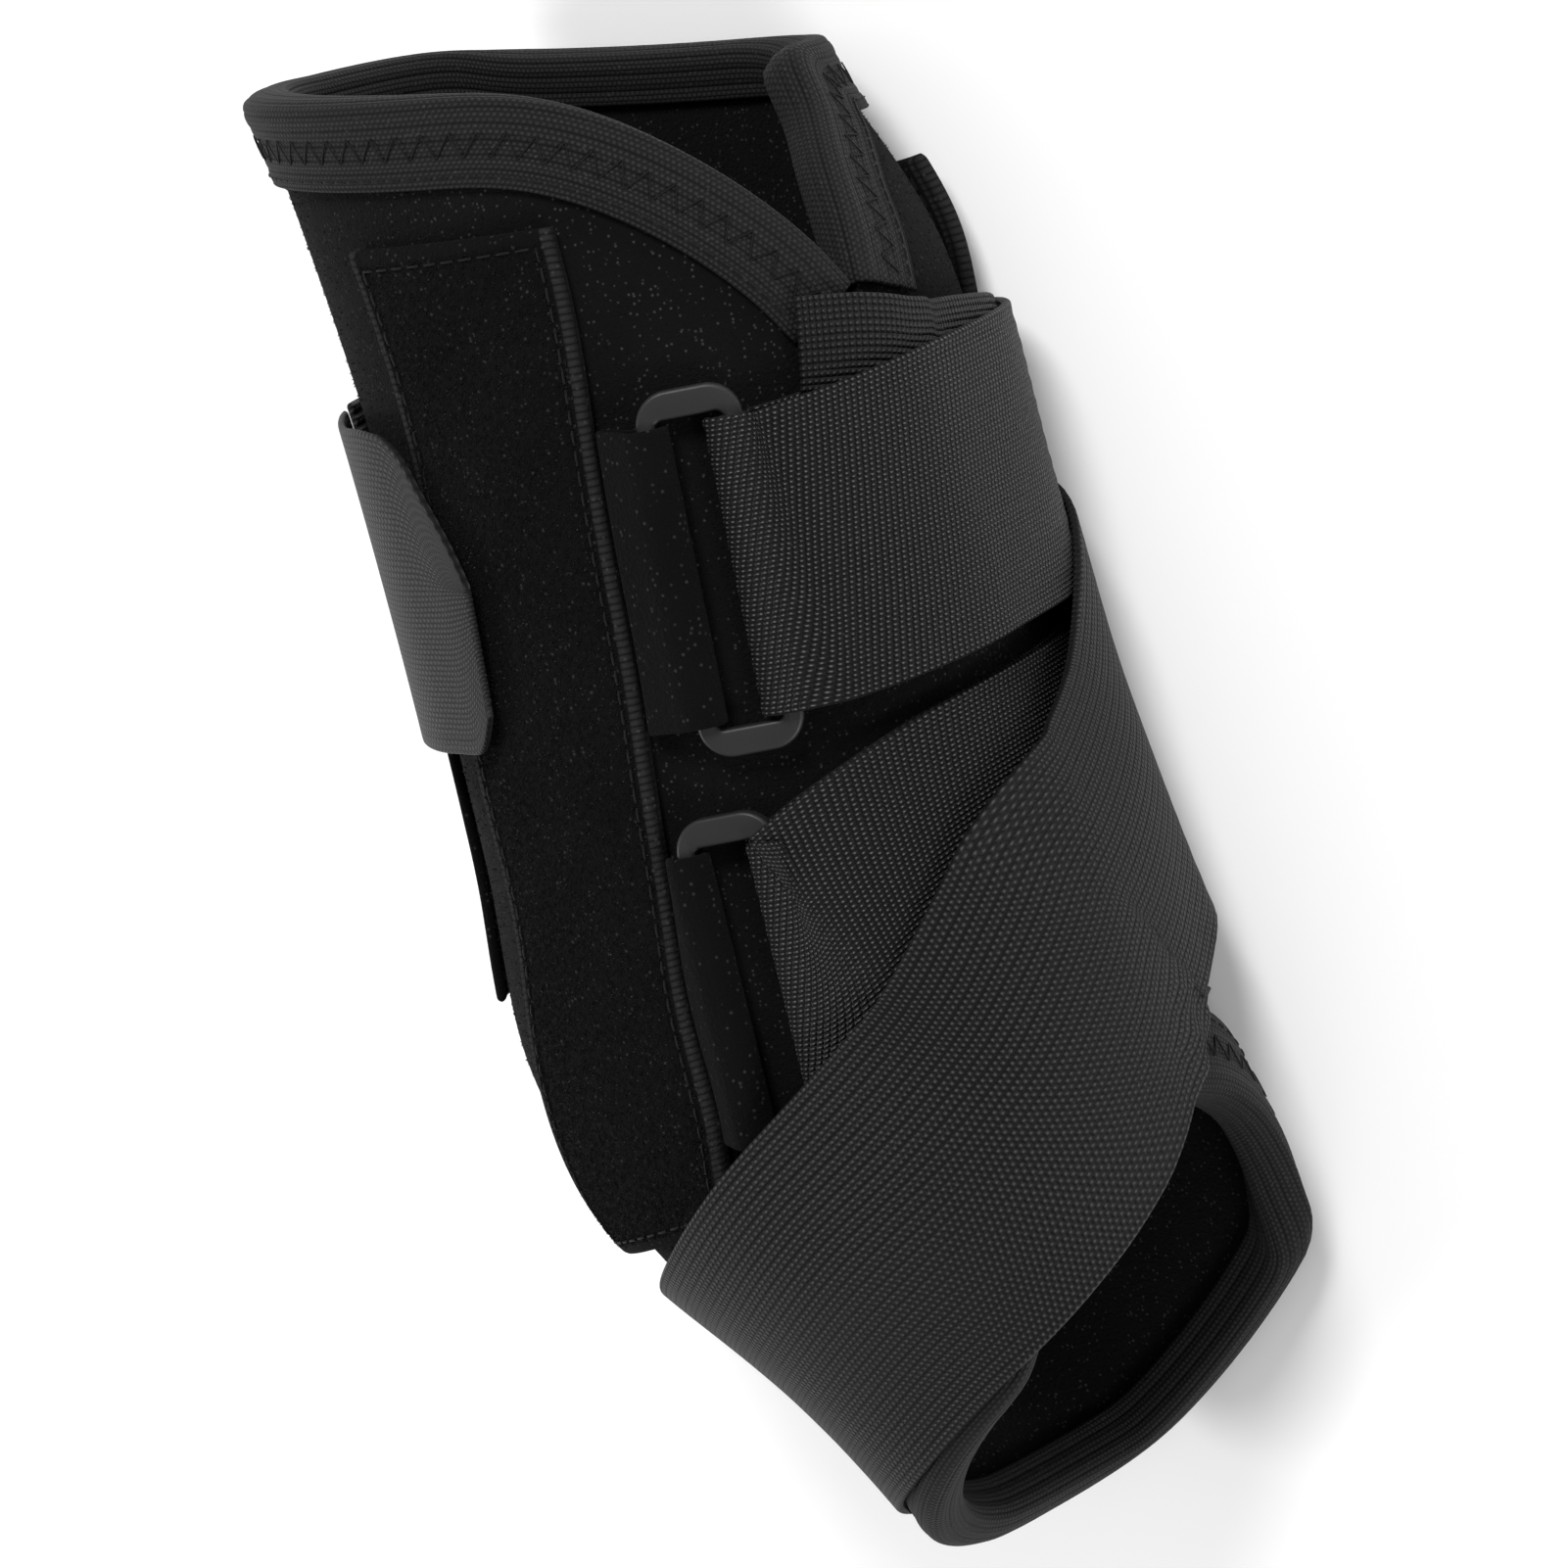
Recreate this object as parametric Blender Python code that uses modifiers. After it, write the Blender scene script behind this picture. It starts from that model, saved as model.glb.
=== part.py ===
# Ankle stabilizer, an open-heel brace that lies on its far side.
# Frame: X runs from the back of the leg to its front, Y runs up the leg, Z is up from the floor.
# The object lies on the floor at Z = 0, with its rings on the upper side.
# Places on the sleeve are given as a turn round the leg in degrees (0 front, 90 upper side,
# 180 back, 270 floor side), a station down the sleeve (0 leg rim, 1 foot rim) and a stand,
# the distance out from the sleeve's outer face.

import math
from collections import namedtuple

import bmesh
import bpy
import numpy as np
from mathutils import Matrix

# Driving sizes, in metres
SLEEVE_LENGTH = 0.238
LEG_WIDTH = 0.092
LEG_DEPTH = 0.072
SLEEVE_WALL = 0.003
NOTCH_DEPTH = 0.0466
HEEL_HOLE_LENGTH = 0.046
HEEL_HOLE_REACH = 0.013
HEEL_SEGMENTS = 28
TAPE_WIDTH = 0.012
TAPE_INNER_WIDTH = 0.007
TAPE_THICKNESS = 0.0008
TAPE_RIM_INSET = 0.001
TAPE_START = 0.0046
PANEL_THICKNESS = 0.003
PATCH_THICKNESS = 0.0016
WEB_THICKNESS = 0.0012
STRAP_WIDTH = 0.044
CLOSURE_WIDTH = 0.042
WRAP_THICKNESS = 0.0014
HOOK_TAB_THICKNESS = 0.0012
WRAP_WIDTH = 0.050
RING_BAR = 0.0028
RING_END = 0.0042
RING_THICKNESS = 0.0024
RING_OPENING = 0.0100
UPPER_FOLD_SLACK = 0.0014
LOWER_FOLD_SLACK = 0.0004
RING_SIDE_CLEARANCE = 0.0008
RING_CORNER = 0.0050
RING_INNER_CORNER = 0.0012
RING_EDGE_ROUND = 0.0006
LAYER_GAP = 0.0004
TAPE_GAP = 0.0008
RING_GAP = 0.0006

# Places round the leg, in degrees of turn
NOTCH_TURN = 10.5
WING_TURN = -12.0
NEAR_WING_TURN = 85.0
NEAR_WING_CURVE = 3.0
TAPE_END_TURN = 2.5
HEEL_STATION = 0.745
SCOOP_TURN = 5.0
SCOOP_FAR_HALF_TURN = 52.0
SCOOP_NEAR_HALF_TURN = 70.0
SCOOP_STATION_DEPTH = 0.185

# Mesh fineness
SLEEVE_COLUMNS = 48
NOTCH_ROWS = 4
BODY_ROWS = 13
FOLD_STEPS = 7
ROW_PITCH = 0.0062
TAB_PITCH = 0.0041
CORNER_POINTS = 5
NEAR_PANEL_COLUMNS = 5
FAR_PANEL_COLUMNS = 7
PATCH_COLUMNS = 6
STRAP_COLUMNS = 3
WRAP_COLUMNS = 6
MARCH_STEPS = 4
TURN_STEP = 0.25
STATION_STEP = 0.002
SAMPLES_PER_ROW = 40
JOIN_DISTANCE = 0.000001
TAB_ROOT_GAP = 0.0006
TAB_STATION_STRETCH = 1.08
TAB_BULGE = 0.0003

# The sleeve's sections, from the leg rim to the foot rim.
# Downs are shares of SLEEVE_LENGTH, fores of LEG_WIDTH, depth and skew of LEG_DEPTH.
# Skew is how far the floor side slides down the sleeve, and the upper side up it.
Section = namedtuple("Section", "station front_fore front_down back_fore back_down depth skew")
SECTIONS = [
    Section(0.00, 0.240, 0.054, -0.635, 0.004, 0.97, 0.03),
    Section(0.17, 0.395, 0.190, -0.585, 0.168, 1.00, 0.01),
    Section(0.34, 0.415, 0.348, -0.568, 0.336, 1.00, 0.00),
    Section(0.51, 0.428, 0.495, -0.575, 0.508, 1.00, 0.00),
    Section(0.64, 0.482, 0.605, -0.600, 0.650, 1.00, 0.00),
    Section(0.77, 0.533, 0.700, -0.475, 0.770, 0.98, 0.02),
    Section(0.89, 0.557, 0.762, -0.205, 0.886, 0.94, 0.05),
    Section(1.00, 0.553, 0.828, -0.005, 1.004, 0.89, 0.08),
]
FLAT_SHARE = 0.88

Finish = namedtuple("Finish", "color roughness metallic")
FINISHES = {
    "fleece": Finish((0.012, 0.012, 0.013), 0.95, 0.0),
    "binding": Finish((0.020, 0.020, 0.021), 0.75, 0.0),
    "loop_pile": Finish((0.010, 0.010, 0.011), 1.0, 0.0),
    "webbing": Finish((0.028, 0.028, 0.030), 0.70, 0.0),
    "elastic": Finish((0.024, 0.024, 0.026), 0.75, 0.0),
    "hook": Finish((0.055, 0.055, 0.057), 0.65, 0.0),
    "ring_plastic": Finish((0.030, 0.030, 0.032), 0.35, 0.0),
}


def through_rows(knots, values, at):
    # Smooth curve through the rows of a table, with central slopes.
    knots = np.asarray(knots, float)
    values = np.asarray(values, float)
    at = np.clip(np.asarray(at, float), knots[0], knots[-1])
    slopes = np.gradient(values, knots, axis=0)
    cell = np.clip(np.searchsorted(knots, at, side="right") - 1, 0, len(knots) - 2)
    width = knots[cell + 1] - knots[cell]
    share = (at - knots[cell]) / width
    if values.ndim > 1:
        width = width[..., None]
        share = share[..., None]
    start = (1 + 2 * share) * (1 - share) ** 2
    start_slope = share * (1 - share) ** 2
    end = share ** 2 * (3 - 2 * share)
    end_slope = share ** 2 * (share - 1)
    return (start * values[cell] + end * values[cell + 1]
            + width * (start_slope * slopes[cell] + end_slope * slopes[cell + 1]))


def smooth_step(share):
    share = np.clip(share, 0, 1)
    return share ** 2 * (3 - 2 * share)


def on_sleeve(turn, station):
    # Point of the sleeve's outer face.
    turn, station = np.broadcast_arrays(np.radians(np.asarray(turn, float)),
                                        np.asarray(station, float))
    table = [[row.front_fore * LEG_WIDTH, -row.front_down * SLEEVE_LENGTH,
              row.back_fore * LEG_WIDTH, -row.back_down * SLEEVE_LENGTH,
              row.depth * LEG_DEPTH, row.skew * LEG_DEPTH] for row in SECTIONS]
    row = through_rows([section.station for section in SECTIONS], table, station)
    front = row[..., 0:2]
    back = row[..., 2:4]
    half_depth = row[..., 4] / 2
    down = np.stack([back[..., 1] - front[..., 1], front[..., 0] - back[..., 0]], axis=-1)
    down /= -np.linalg.norm(down, axis=-1, keepdims=True)
    fore = np.cos(turn)
    side = np.sin(turn)
    plan = (front + back) / 2 + (front - back) / 2 * fore[..., None]
    plan = plan - down * (side * row[..., 5])[..., None]
    pressed = 1 - np.clip(1 + side / FLAT_SHARE, 0, 1) ** 2
    height = np.where(side > 0, half_depth * (1 + side), half_depth * (1 - pressed))
    return np.concatenate([plan, height[..., None]], axis=-1)


def slopes_on_sleeve(turn, station):
    # How the outer face moves for one degree of turn and for one whole station.
    turn = np.asarray(turn, float)
    station = np.asarray(station, float)
    low = np.clip(station - STATION_STEP, 0, 1)
    high = np.clip(station + STATION_STEP, 0, 1)
    per_turn = (on_sleeve(turn + TURN_STEP, station)
                - on_sleeve(turn - TURN_STEP, station)) / (2 * TURN_STEP)
    span = np.broadcast_to(high - low, np.broadcast(turn, station).shape)
    per_station = (on_sleeve(turn, high) - on_sleeve(turn, low)) / span[..., None]
    return per_turn, per_station


def outward(turn, station):
    per_turn, per_station = slopes_on_sleeve(turn, station)
    normal = np.cross(per_turn, per_station)
    return normal / np.linalg.norm(normal, axis=-1, keepdims=True)


def laid(turn, station, stand):
    # Point at a distance outside the sleeve's outer face.
    stand = np.asarray(stand, float)
    return on_sleeve(turn, station) + outward(turn, station) * stand[..., None]


def march(turn, station, heading, distance):
    # Walk along the outer face from a place, in a straight line as cloth would lie.
    turn = float(turn)
    station = float(station)
    heading = np.array(heading, float)
    stride = distance / MARCH_STEPS
    for _ in range(MARCH_STEPS):
        per_turn, per_station = slopes_on_sleeve(turn, station)
        slopes = np.stack([per_turn, per_station], axis=-1)
        move = np.linalg.lstsq(slopes, heading * stride, rcond=None)[0]
        turn += move[0]
        station = min(max(station + move[1], 0.0), 1.0)
        normal = outward(turn, station)
        heading = heading - normal * heading.dot(normal)
        heading /= np.linalg.norm(heading)
    return turn, station


def across(path, reaches):
    # Places beside a path. Positive reaches lie on the side of heading x outward.
    path = np.asarray(path, float)
    points = on_sleeve(path[:, 0], path[:, 1])
    places = np.empty((len(path), len(reaches[0]), 2))
    for index, (turn, station) in enumerate(path):
        before = points[index] - points[max(index - 1, 0)]
        after = points[min(index + 1, len(path) - 1)] - points[index]
        arms = [arm / np.linalg.norm(arm) for arm in (before, after) if np.linalg.norm(arm) > 0]
        heading = sum(arms)
        heading /= np.linalg.norm(heading)
        stretch = 1 / heading.dot(arms[0])
        beside = np.cross(heading, outward(turn, station))
        beside /= np.linalg.norm(beside)
        for column, reach in enumerate(reaches[index]):
            way = beside if reach >= 0 else -beside
            places[index, column] = march(turn, station, way, abs(reach) * stretch)
    return places


def evenly(table, pitch=ROW_PITCH):
    # Rows of a table spaced evenly along the path that its turn and station columns give.
    table = np.asarray(table, float)
    at = np.linspace(0, len(table) - 1, SAMPLES_PER_ROW * len(table))
    dense = through_rows(np.arange(len(table)), table, at)
    points = on_sleeve(dense[:, 0], dense[:, 1])
    length = np.concatenate([[0], np.cumsum(np.linalg.norm(np.diff(points, axis=0), axis=1))])
    count = max(int(round(length[-1] / pitch)), 2)
    at = np.linspace(0, length[-1], count + 1)
    return np.stack([np.interp(at, length, dense[:, column]) for column in range(table.shape[1])], axis=1)


def lay_ribbon(rows, shares):
    # Points of a ribbon. Rows hold turn, station, reach and stand on one side, and on the other.
    reaches = [[row[2] * max(share, 0) + row[4] * min(share, 0) for share in shares] for row in rows]
    places = across(rows[:, 0:2], reaches)
    mix = (1 + np.asarray(shares)) / 2
    stand = rows[:, 3:4] * mix + rows[:, 5:6] * (1 - mix)
    return laid(places[..., 0], places[..., 1], stand)


def paint(finish):
    material = bpy.data.materials.get(finish)
    if material is None:
        look = FINISHES[finish]
        material = bpy.data.materials.new(finish)
        material.use_nodes = True
        shader = material.node_tree.nodes["Principled BSDF"]
        shader.inputs["Base Color"].default_value = (*look.color, 1)
        shader.inputs["Roughness"].default_value = look.roughness
        shader.inputs["Metallic"].default_value = look.metallic
    return material


def place(thing, finish):
    thing.data.materials.append(paint(finish))
    PARTS.objects.link(thing)
    thing.parent = SEAT
    return thing


def grid_piece(name, points, thickness, finish, closed=False, offset=0.0):
    # One cloth piece: an open grid of points given its thickness.
    shape = bmesh.new()
    verts = [[shape.verts.new(point) for point in row] for row in points]
    count = len(verts)
    for index in range(count if closed else count - 1):
        row, after = verts[index], verts[(index + 1) % count]
        for column in range(len(row) - 1):
            shape.faces.new((row[column], row[column + 1], after[column + 1], after[column]))
    bmesh.ops.remove_doubles(shape, verts=shape.verts, dist=JOIN_DISTANCE)
    mesh = bpy.data.meshes.new(name)
    shape.to_mesh(mesh)
    shape.free()
    mesh.shade_smooth()
    piece = place(bpy.data.objects.new(name, mesh), finish)
    wall = piece.modifiers.new("wall", "SOLIDIFY")
    wall.thickness = thickness
    wall.offset = offset
    return piece


def notch_station():
    return NOTCH_DEPTH / SLEEVE_LENGTH


def wing_turn(station):
    # Turn of the far wing's edge, which leans away from the notch towards the rim.
    share = np.clip(1 - station / notch_station(), 0, 1)
    return NOTCH_TURN + (WING_TURN - NOTCH_TURN) * share


def near_wing_station(turn):
    # Station of the rim over the near wing's big round corner. Turns run from 0 down to -360.
    share = (NEAR_WING_TURN - (turn + 360)) / (NEAR_WING_TURN - NOTCH_TURN)
    return notch_station() * np.clip(share, 0, 1) ** NEAR_WING_CURVE


def column_top(share):
    # Turn and station of the leg rim for one column of the sleeve, and its turn lower down.
    low_turn = NOTCH_TURN - 360 * share
    top = near_wing_station(low_turn)
    lean = 1 - top / notch_station()
    top_turn = WING_TURN + (NOTCH_TURN - 360 - WING_TURN) * share
    return low_turn + (top_turn - low_turn) * lean, top, low_turn


def foot_rim_station(turn):
    # Station of the foot rim, which is scooped out over the instep.
    away = (turn - SCOOP_TURN + 180) % 360 - 180
    share = away / np.where(away < 0, SCOOP_FAR_HALF_TURN, SCOOP_NEAR_HALF_TURN)
    return 1 - SCOOP_STATION_DEPTH * np.clip(1 - share ** 2, 0, 1) ** 2


def build_sleeve():
    # Columns run from the far wing's edge round the floor side and the back to the near wing.
    lean = np.linspace(1, 0, NOTCH_ROWS + 1)
    columns = []
    for share in np.linspace(0, 1, SLEEVE_COLUMNS + 1):
        top_turn, top, low_turn = column_top(share)
        notch = notch_station() + (top - notch_station()) * lean
        body = np.linspace(notch_station(), foot_rim_station(low_turn), BODY_ROWS + 1)[1:]
        turns = np.concatenate([low_turn + (top_turn - low_turn) * lean, np.full(len(body), low_turn)])
        columns.append(on_sleeve(turns, np.concatenate([notch, body])))
    sleeve = grid_piece("sleeve", columns, SLEEVE_WALL, "fleece", offset=-1.0)
    heel = sleeve.modifiers.new("heel_hole", "BOOLEAN")
    heel.operation = "DIFFERENCE"
    heel.object = heel_cutter()
    return sleeve


def heel_cutter():
    # An oval bar across the back of the heel.
    middle = on_sleeve(180.0, HEEL_STATION)
    along = slopes_on_sleeve(180.0, HEEL_STATION)[1]
    mesh = bpy.data.meshes.new("heel_cutter")
    shape = bmesh.new()
    bmesh.ops.create_cone(shape, cap_ends=True, segments=HEEL_SEGMENTS, radius1=1, radius2=1, depth=2)
    bmesh.ops.scale(shape, vec=(HEEL_HOLE_LENGTH / 2, HEEL_HOLE_REACH, LEG_DEPTH), verts=shape.verts)
    shape.to_mesh(mesh)
    shape.free()
    cutter = bpy.data.objects.new("heel_cutter", mesh)
    cutter.location = middle
    cutter.rotation_euler = (0, 0, math.atan2(along[1], along[0]))
    cutter.display_type = "WIRE"
    cutter.hide_render = True
    cutter.parent = SEAT
    CUTTERS.objects.link(cutter)
    return cutter


def build_binding(name, path, closed):
    # Ribbed tape folded over a rim. The path runs with the sleeve on its heading x outward side.
    stand = TAPE_GAP + TAPE_THICKNESS / 2
    reaches = (TAPE_WIDTH, TAPE_WIDTH / 2, TAPE_INNER_WIDTH, TAPE_RIM_INSET)
    if closed:
        ring = np.vstack([path[-1] - (360, 0), path, path[0] + (360, 0)])
        places = across(ring, [reaches] * len(ring))[1:-1]
    else:
        places = across(path, [reaches] * len(path))
    outer = [laid(places[:, column, 0], places[:, column, 1], stand) for column in (0, 1)]
    rim_turn, rim_station = path[:, 0], path[:, 1]
    inset = laid(places[:, 3, 0], places[:, 3, 1], -SLEEVE_WALL / 2)
    rim = laid(rim_turn, rim_station, -SLEEVE_WALL / 2)
    out = rim - inset
    out /= np.linalg.norm(out, axis=1, keepdims=True)
    edge_outer = laid(rim_turn, rim_station, stand) + out * stand / 2
    edge_middle = rim + out * stand
    edge_inner = laid(rim_turn, rim_station, -SLEEVE_WALL - stand) + out * stand / 2
    inner = laid(places[:, 2, 0], places[:, 2, 1], -SLEEVE_WALL - stand)
    points = np.stack([inner, edge_inner, edge_middle, edge_outer, outer[1], outer[0]], axis=1)
    return grid_piece(name, points, TAPE_THICKNESS, "binding", closed=closed)


def leg_rim_path():
    # From the notch up the far wing's edge, round the leg, and down the near wing's curve.
    # Both ends stop short of the notch's point, where the tapes would meet.
    rise = np.linspace(notch_station() - TAPE_START / SLEEVE_LENGTH, 0, NOTCH_ROWS + 1)[:-1]
    up = np.stack([wing_turn(rise), rise], axis=1)
    shares = np.linspace(0, 1, SLEEVE_COLUMNS + 1)
    shares[-1] = 1 - TAPE_END_TURN / 360
    top = [column_top(share)[0:2] for share in shares]
    return np.vstack([up, top])


def foot_rim_path():
    turns = NOTCH_TURN + 360 * np.linspace(0, 1, SLEEVE_COLUMNS + 1)[:-1]
    return np.stack([turns, foot_rim_station(turns)], axis=1)


# Rows of a flat strip that runs down the sleeve: the turns of its two edges at each station.
Strip = namedtuple("Strip", "station back_turn front_turn front_lift")
NEAR_PANEL = [
    Strip(0.095, 112.0, 65.0, 0.0),
    Strip(0.220, 114.0, 72.0, 0.0),
    Strip(0.430, 122.0, 78.0, 0.0),
    Strip(0.580, 124.0, 83.5, 0.0),
    Strip(0.700, 137.0, 89.0, 0.0),
    Strip(0.775, 150.0, 98.0, 0.0),
]
FAR_PANEL = [
    Strip(0.112, -86.0, -37.0, 0.0026),
    Strip(0.170, -86.0, -37.5, 0.0024),
    Strip(0.225, -86.0, -38.0, 0.0008),
    Strip(0.430, -86.0, -39.0, 0.0008),
    Strip(0.700, -86.0, -42.0, 0.0008),
]
FRONT_LIFT_TURNS = 20.0

# A ring: the places of its two ends on the sleeve, as turn and station.
Ring = namedtuple("Ring", "name top_turn top_station low_turn low_station")
UPPER_RING = Ring("upper_ring", 54.5, 0.237, 58.0, 0.425)
LOWER_RING = Ring("lower_ring", 66.5, 0.512, 74.0, 0.714)

# A strap's run: its middle line, and how far it stands off at the middle of its thickness.
Run = namedtuple("Run", "turn station stand")
BESIDE_SKIN = LAYER_GAP + WEB_THICKNESS / 2
OVER_PANEL = LAYER_GAP + PANEL_THICKNESS + LAYER_GAP + WEB_THICKNESS / 2
UPPER_INNER_RUN = [
    Run(-24.0, 0.322, BESIDE_SKIN),
    Run(-8.0, 0.322, 0.0020),
    Run(12.0, 0.326, 0.0021),
    Run(33.0, 0.331, 0.0016),
    Run(45.0, 0.333, BESIDE_SKIN),
]
UPPER_OUTER_RUN = [
    Run(-78.0, 0.320, OVER_PANEL),
    Run(-52.0, 0.322, OVER_PANEL + 0.0003),
    Run(-30.0, 0.322, 0.0057),
    Run(-8.0, 0.322, 0.0060),
    Run(12.0, 0.326, 0.0063),
    Run(30.0, 0.331, 0.0062),
    Run(41.5, 0.334, 0.0056),
]
LOWER_INNER_RUN = [
    Run(-28.0, 0.553, BESIDE_SKIN),
    Run(-4.0, 0.559, BESIDE_SKIN),
    Run(20.0, 0.567, BESIDE_SKIN),
    Run(42.0, 0.586, BESIDE_SKIN + 0.0002),
    Run(55.5, 0.605, BESIDE_SKIN + 0.0004),
]
LOWER_OUTER_RUN = [
    Run(-76.0, 0.548, OVER_PANEL),
    Run(-52.0, 0.550, OVER_PANEL + 0.0006),
    Run(-34.0, 0.553, 0.0054),
    Run(-4.0, 0.559, 0.0028),
    Run(20.0, 0.567, 0.0028),
    Run(40.0, 0.584, 0.0047),
    Run(52.0, 0.601, 0.0068),
]

# The closure tab between the upper strap's two runs.
CLOSURE_RUN = [
    Run(-22.0, 0.308, 0.0039),
    Run(6.0, 0.288, 0.0041),
    Run(22.0, 0.274, 0.0041),
    Run(35.5, 0.266, 0.0036),
]

# The elastic wrap, from under the sole over the instep, round the floor side to the back.
# The stands are those of its foot-side edge and its leg-side edge.
Wrap = namedtuple("Wrap", "turn station stand_lower stand_upper")
WRAP = [
    Wrap(214.0, 0.892, 0.0027, 0.0014),
    Wrap(180.0, 0.892, 0.0027, 0.0014),
    Wrap(146.0, 0.889, 0.0027, 0.0032),
    Wrap(112.0, 0.880, 0.0027, 0.0060),
    Wrap(84.0, 0.856, 0.0027, 0.0087),
    Wrap(60.0, 0.821, 0.0028, 0.0099),
    Wrap(38.0, 0.764, 0.0034, 0.0096),
    Wrap(16.0, 0.690, 0.0038, 0.0074),
    Wrap(-6.0, 0.618, 0.0042, 0.0071),
    Wrap(-28.0, 0.550, 0.0062, 0.0078),
    Wrap(-44.0, 0.500, 0.0070, 0.0075),
    Wrap(-58.0, 0.460, 0.0065, 0.0065),
    Wrap(-68.0, 0.432, 0.0064, 0.0064),
    Wrap(-82.0, 0.398, 0.0064, 0.0064),
    Wrap(-106.0, 0.352, 0.0063, 0.0063),
    Wrap(-120.0, 0.334, 0.0059, 0.0059),
    Wrap(-154.0, 0.314, 0.0038, 0.0038),
    Wrap(-180.0, 0.310, 0.0031, 0.0031),
    Wrap(-196.5, 0.310, 0.0031, 0.0031),
]
# Round the tight bend onto the floor side, the wrap's stand goes by the turn alone.
Bend = namedtuple("Bend", "turn stand")
WRAP_BEND = [
    Bend(-120.0, 0.0064),
    Bend(-72.0, 0.0064),
    Bend(-67.0, 0.0064),
    Bend(-62.0, 0.0064),
    Bend(-56.0, 0.0065),
    Bend(-50.0, 0.0069),
    Bend(-44.0, 0.0075),
    Bend(-36.0, 0.0077),
    Bend(-10.0, 0.0074),
]
BEND_START = -16.0
BEND_BLEND = 22.0
WRAP_EASE_START = 0.35

# The hook tab: its middle line, its reach to each side as a share of half the wrap's width.
Tab = namedtuple("Tab", "turn station reach_lower reach_upper stand")
HOOK_TAB = [
    Tab(160.5, 0.312, 1.00, 1.00, 0.0032),
    Tab(150.0, 0.314, 1.00, 1.00, 0.0036),
    Tab(138.0, 0.316, 1.00, 1.00, 0.0046),
    Tab(126.0, 0.317, 1.00, 1.00, 0.0052),
    Tab(117.0, 0.317, 1.00, 0.92, 0.0053),
    Tab(112.0, 0.317, 1.00, 0.66, 0.0056),
    Tab(107.5, 0.317, 0.93, 0.34, 0.0060),
    Tab(103.5, 0.318, 0.76, 0.02, 0.0064),
]

# The pile patch round the back, below the hook tab.
PATCH_STAND = LAYER_GAP + 0.0002 + PATCH_THICKNESS / 2
PATCH_RUN = [
    Run(154.0, 0.508, PATCH_STAND),
    Run(180.0, 0.508, PATCH_STAND),
    Run(214.0, 0.500, PATCH_STAND),
]
PATCH_HEIGHT = 0.044
PATCH_PITCH = 0.005


def strip_piece(name, table, columns):
    # A stiffened pile strip that follows the sleeve's length. Its front edge may lift off.
    table = np.asarray(table, float)
    steps = int(round((table[-1, 0] - table[0, 0]) * SLEEVE_LENGTH / ROW_PITCH))
    stations = np.linspace(table[0, 0], table[-1, 0], steps + 1)
    row = through_rows(table[:, 0], table[:, 1:], stations)
    shares = np.linspace(0, 1, columns + 1)
    turns = row[:, 0:1] + (row[:, 1:2] - row[:, 0:1]) * shares
    from_front = (row[:, 1:2] - turns) / FRONT_LIFT_TURNS
    lift = row[:, 2:3] * np.clip(1 - from_front, 0, 1) ** 2
    stand = LAYER_GAP + PANEL_THICKNESS / 2 + lift
    points = laid(turns, np.broadcast_to(stations[:, None], turns.shape), stand)
    return grid_piece(name, points, PANEL_THICKNESS, "loop_pile")


def ring_frame(ring):
    # Middle of a ring, its long axis up the leg, its short axis round the leg, and its outward axis.
    top = laid(ring.top_turn, ring.top_station, 0)
    low = laid(ring.low_turn, ring.low_station, 0)
    turn = (ring.top_turn + ring.low_turn) / 2
    station = (ring.top_station + ring.low_station) / 2
    up = (top - low) / np.linalg.norm(top - low)
    out = outward(turn, station)
    out = out - up * out.dot(up)
    out /= np.linalg.norm(out)
    round_leg = np.cross(up, out)
    if round_leg.dot(slopes_on_sleeve(turn, station)[0]) < 0:
        round_leg = -round_leg
    bar_reach = RING_OPENING / 2 + RING_BAR / 2
    bar_stand = LAYER_GAP + WEB_THICKNESS + RING_GAP + RING_THICKNESS / 2
    skin = on_sleeve(turn, station)
    per_turn = slopes_on_sleeve(turn, station)[0]
    bar_turns = bar_reach / np.linalg.norm(per_turn)
    drop = min((skin - on_sleeve(end_turn + side * bar_turns, end_station)).dot(out)
               for side in (-1, 1) for end_turn, end_station in
               ((ring.top_turn, ring.top_station), (turn, station), (ring.low_turn, ring.low_station)))
    middle = skin + out * (bar_stand - drop)
    return middle, up, round_leg, out


def rounded_box(length, width, corner):
    # Outline of a box with round corners, as points in order.
    points = []
    for quarter, (side_x, side_y) in enumerate([(1, 1), (-1, 1), (-1, -1), (1, -1)]):
        for step in np.linspace(0, 1, CORNER_POINTS):
            angle = math.pi / 2 * (quarter + step)
            points.append((side_x * (length / 2 - corner) + corner * math.cos(angle),
                           side_y * (width / 2 - corner) + corner * math.sin(angle), 0))
    return points


def build_ring(ring):
    opening = STRAP_WIDTH + 2 * RING_SIDE_CLEARANCE
    curve = bpy.data.curves.new(ring.name, "CURVE")
    curve.dimensions = "2D"
    curve.fill_mode = "BOTH"
    curve.extrude = RING_THICKNESS / 2 - RING_EDGE_ROUND
    curve.bevel_depth = RING_EDGE_ROUND
    curve.bevel_resolution = 0
    curve.offset = -RING_EDGE_ROUND
    for length, width, corner in (
            (opening + 2 * RING_END, RING_OPENING + 2 * RING_BAR, RING_CORNER),
            (opening, RING_OPENING, RING_INNER_CORNER)):
        points = rounded_box(length, width, corner)
        outline = curve.splines.new("POLY")
        outline.points.add(len(points) - 1)
        for target, point in zip(outline.points, points):
            target.co = (*point, 1)
        outline.use_cyclic_u = True
    middle, up, round_leg, out = ring_frame(ring)
    axes = Matrix((up, np.cross(out, up), out)).transposed().to_4x4()
    loop = place(bpy.data.objects.new(ring.name, curve), "ring_plastic")
    loop.matrix_basis = Matrix.Translation(middle) @ axes
    return loop


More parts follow.
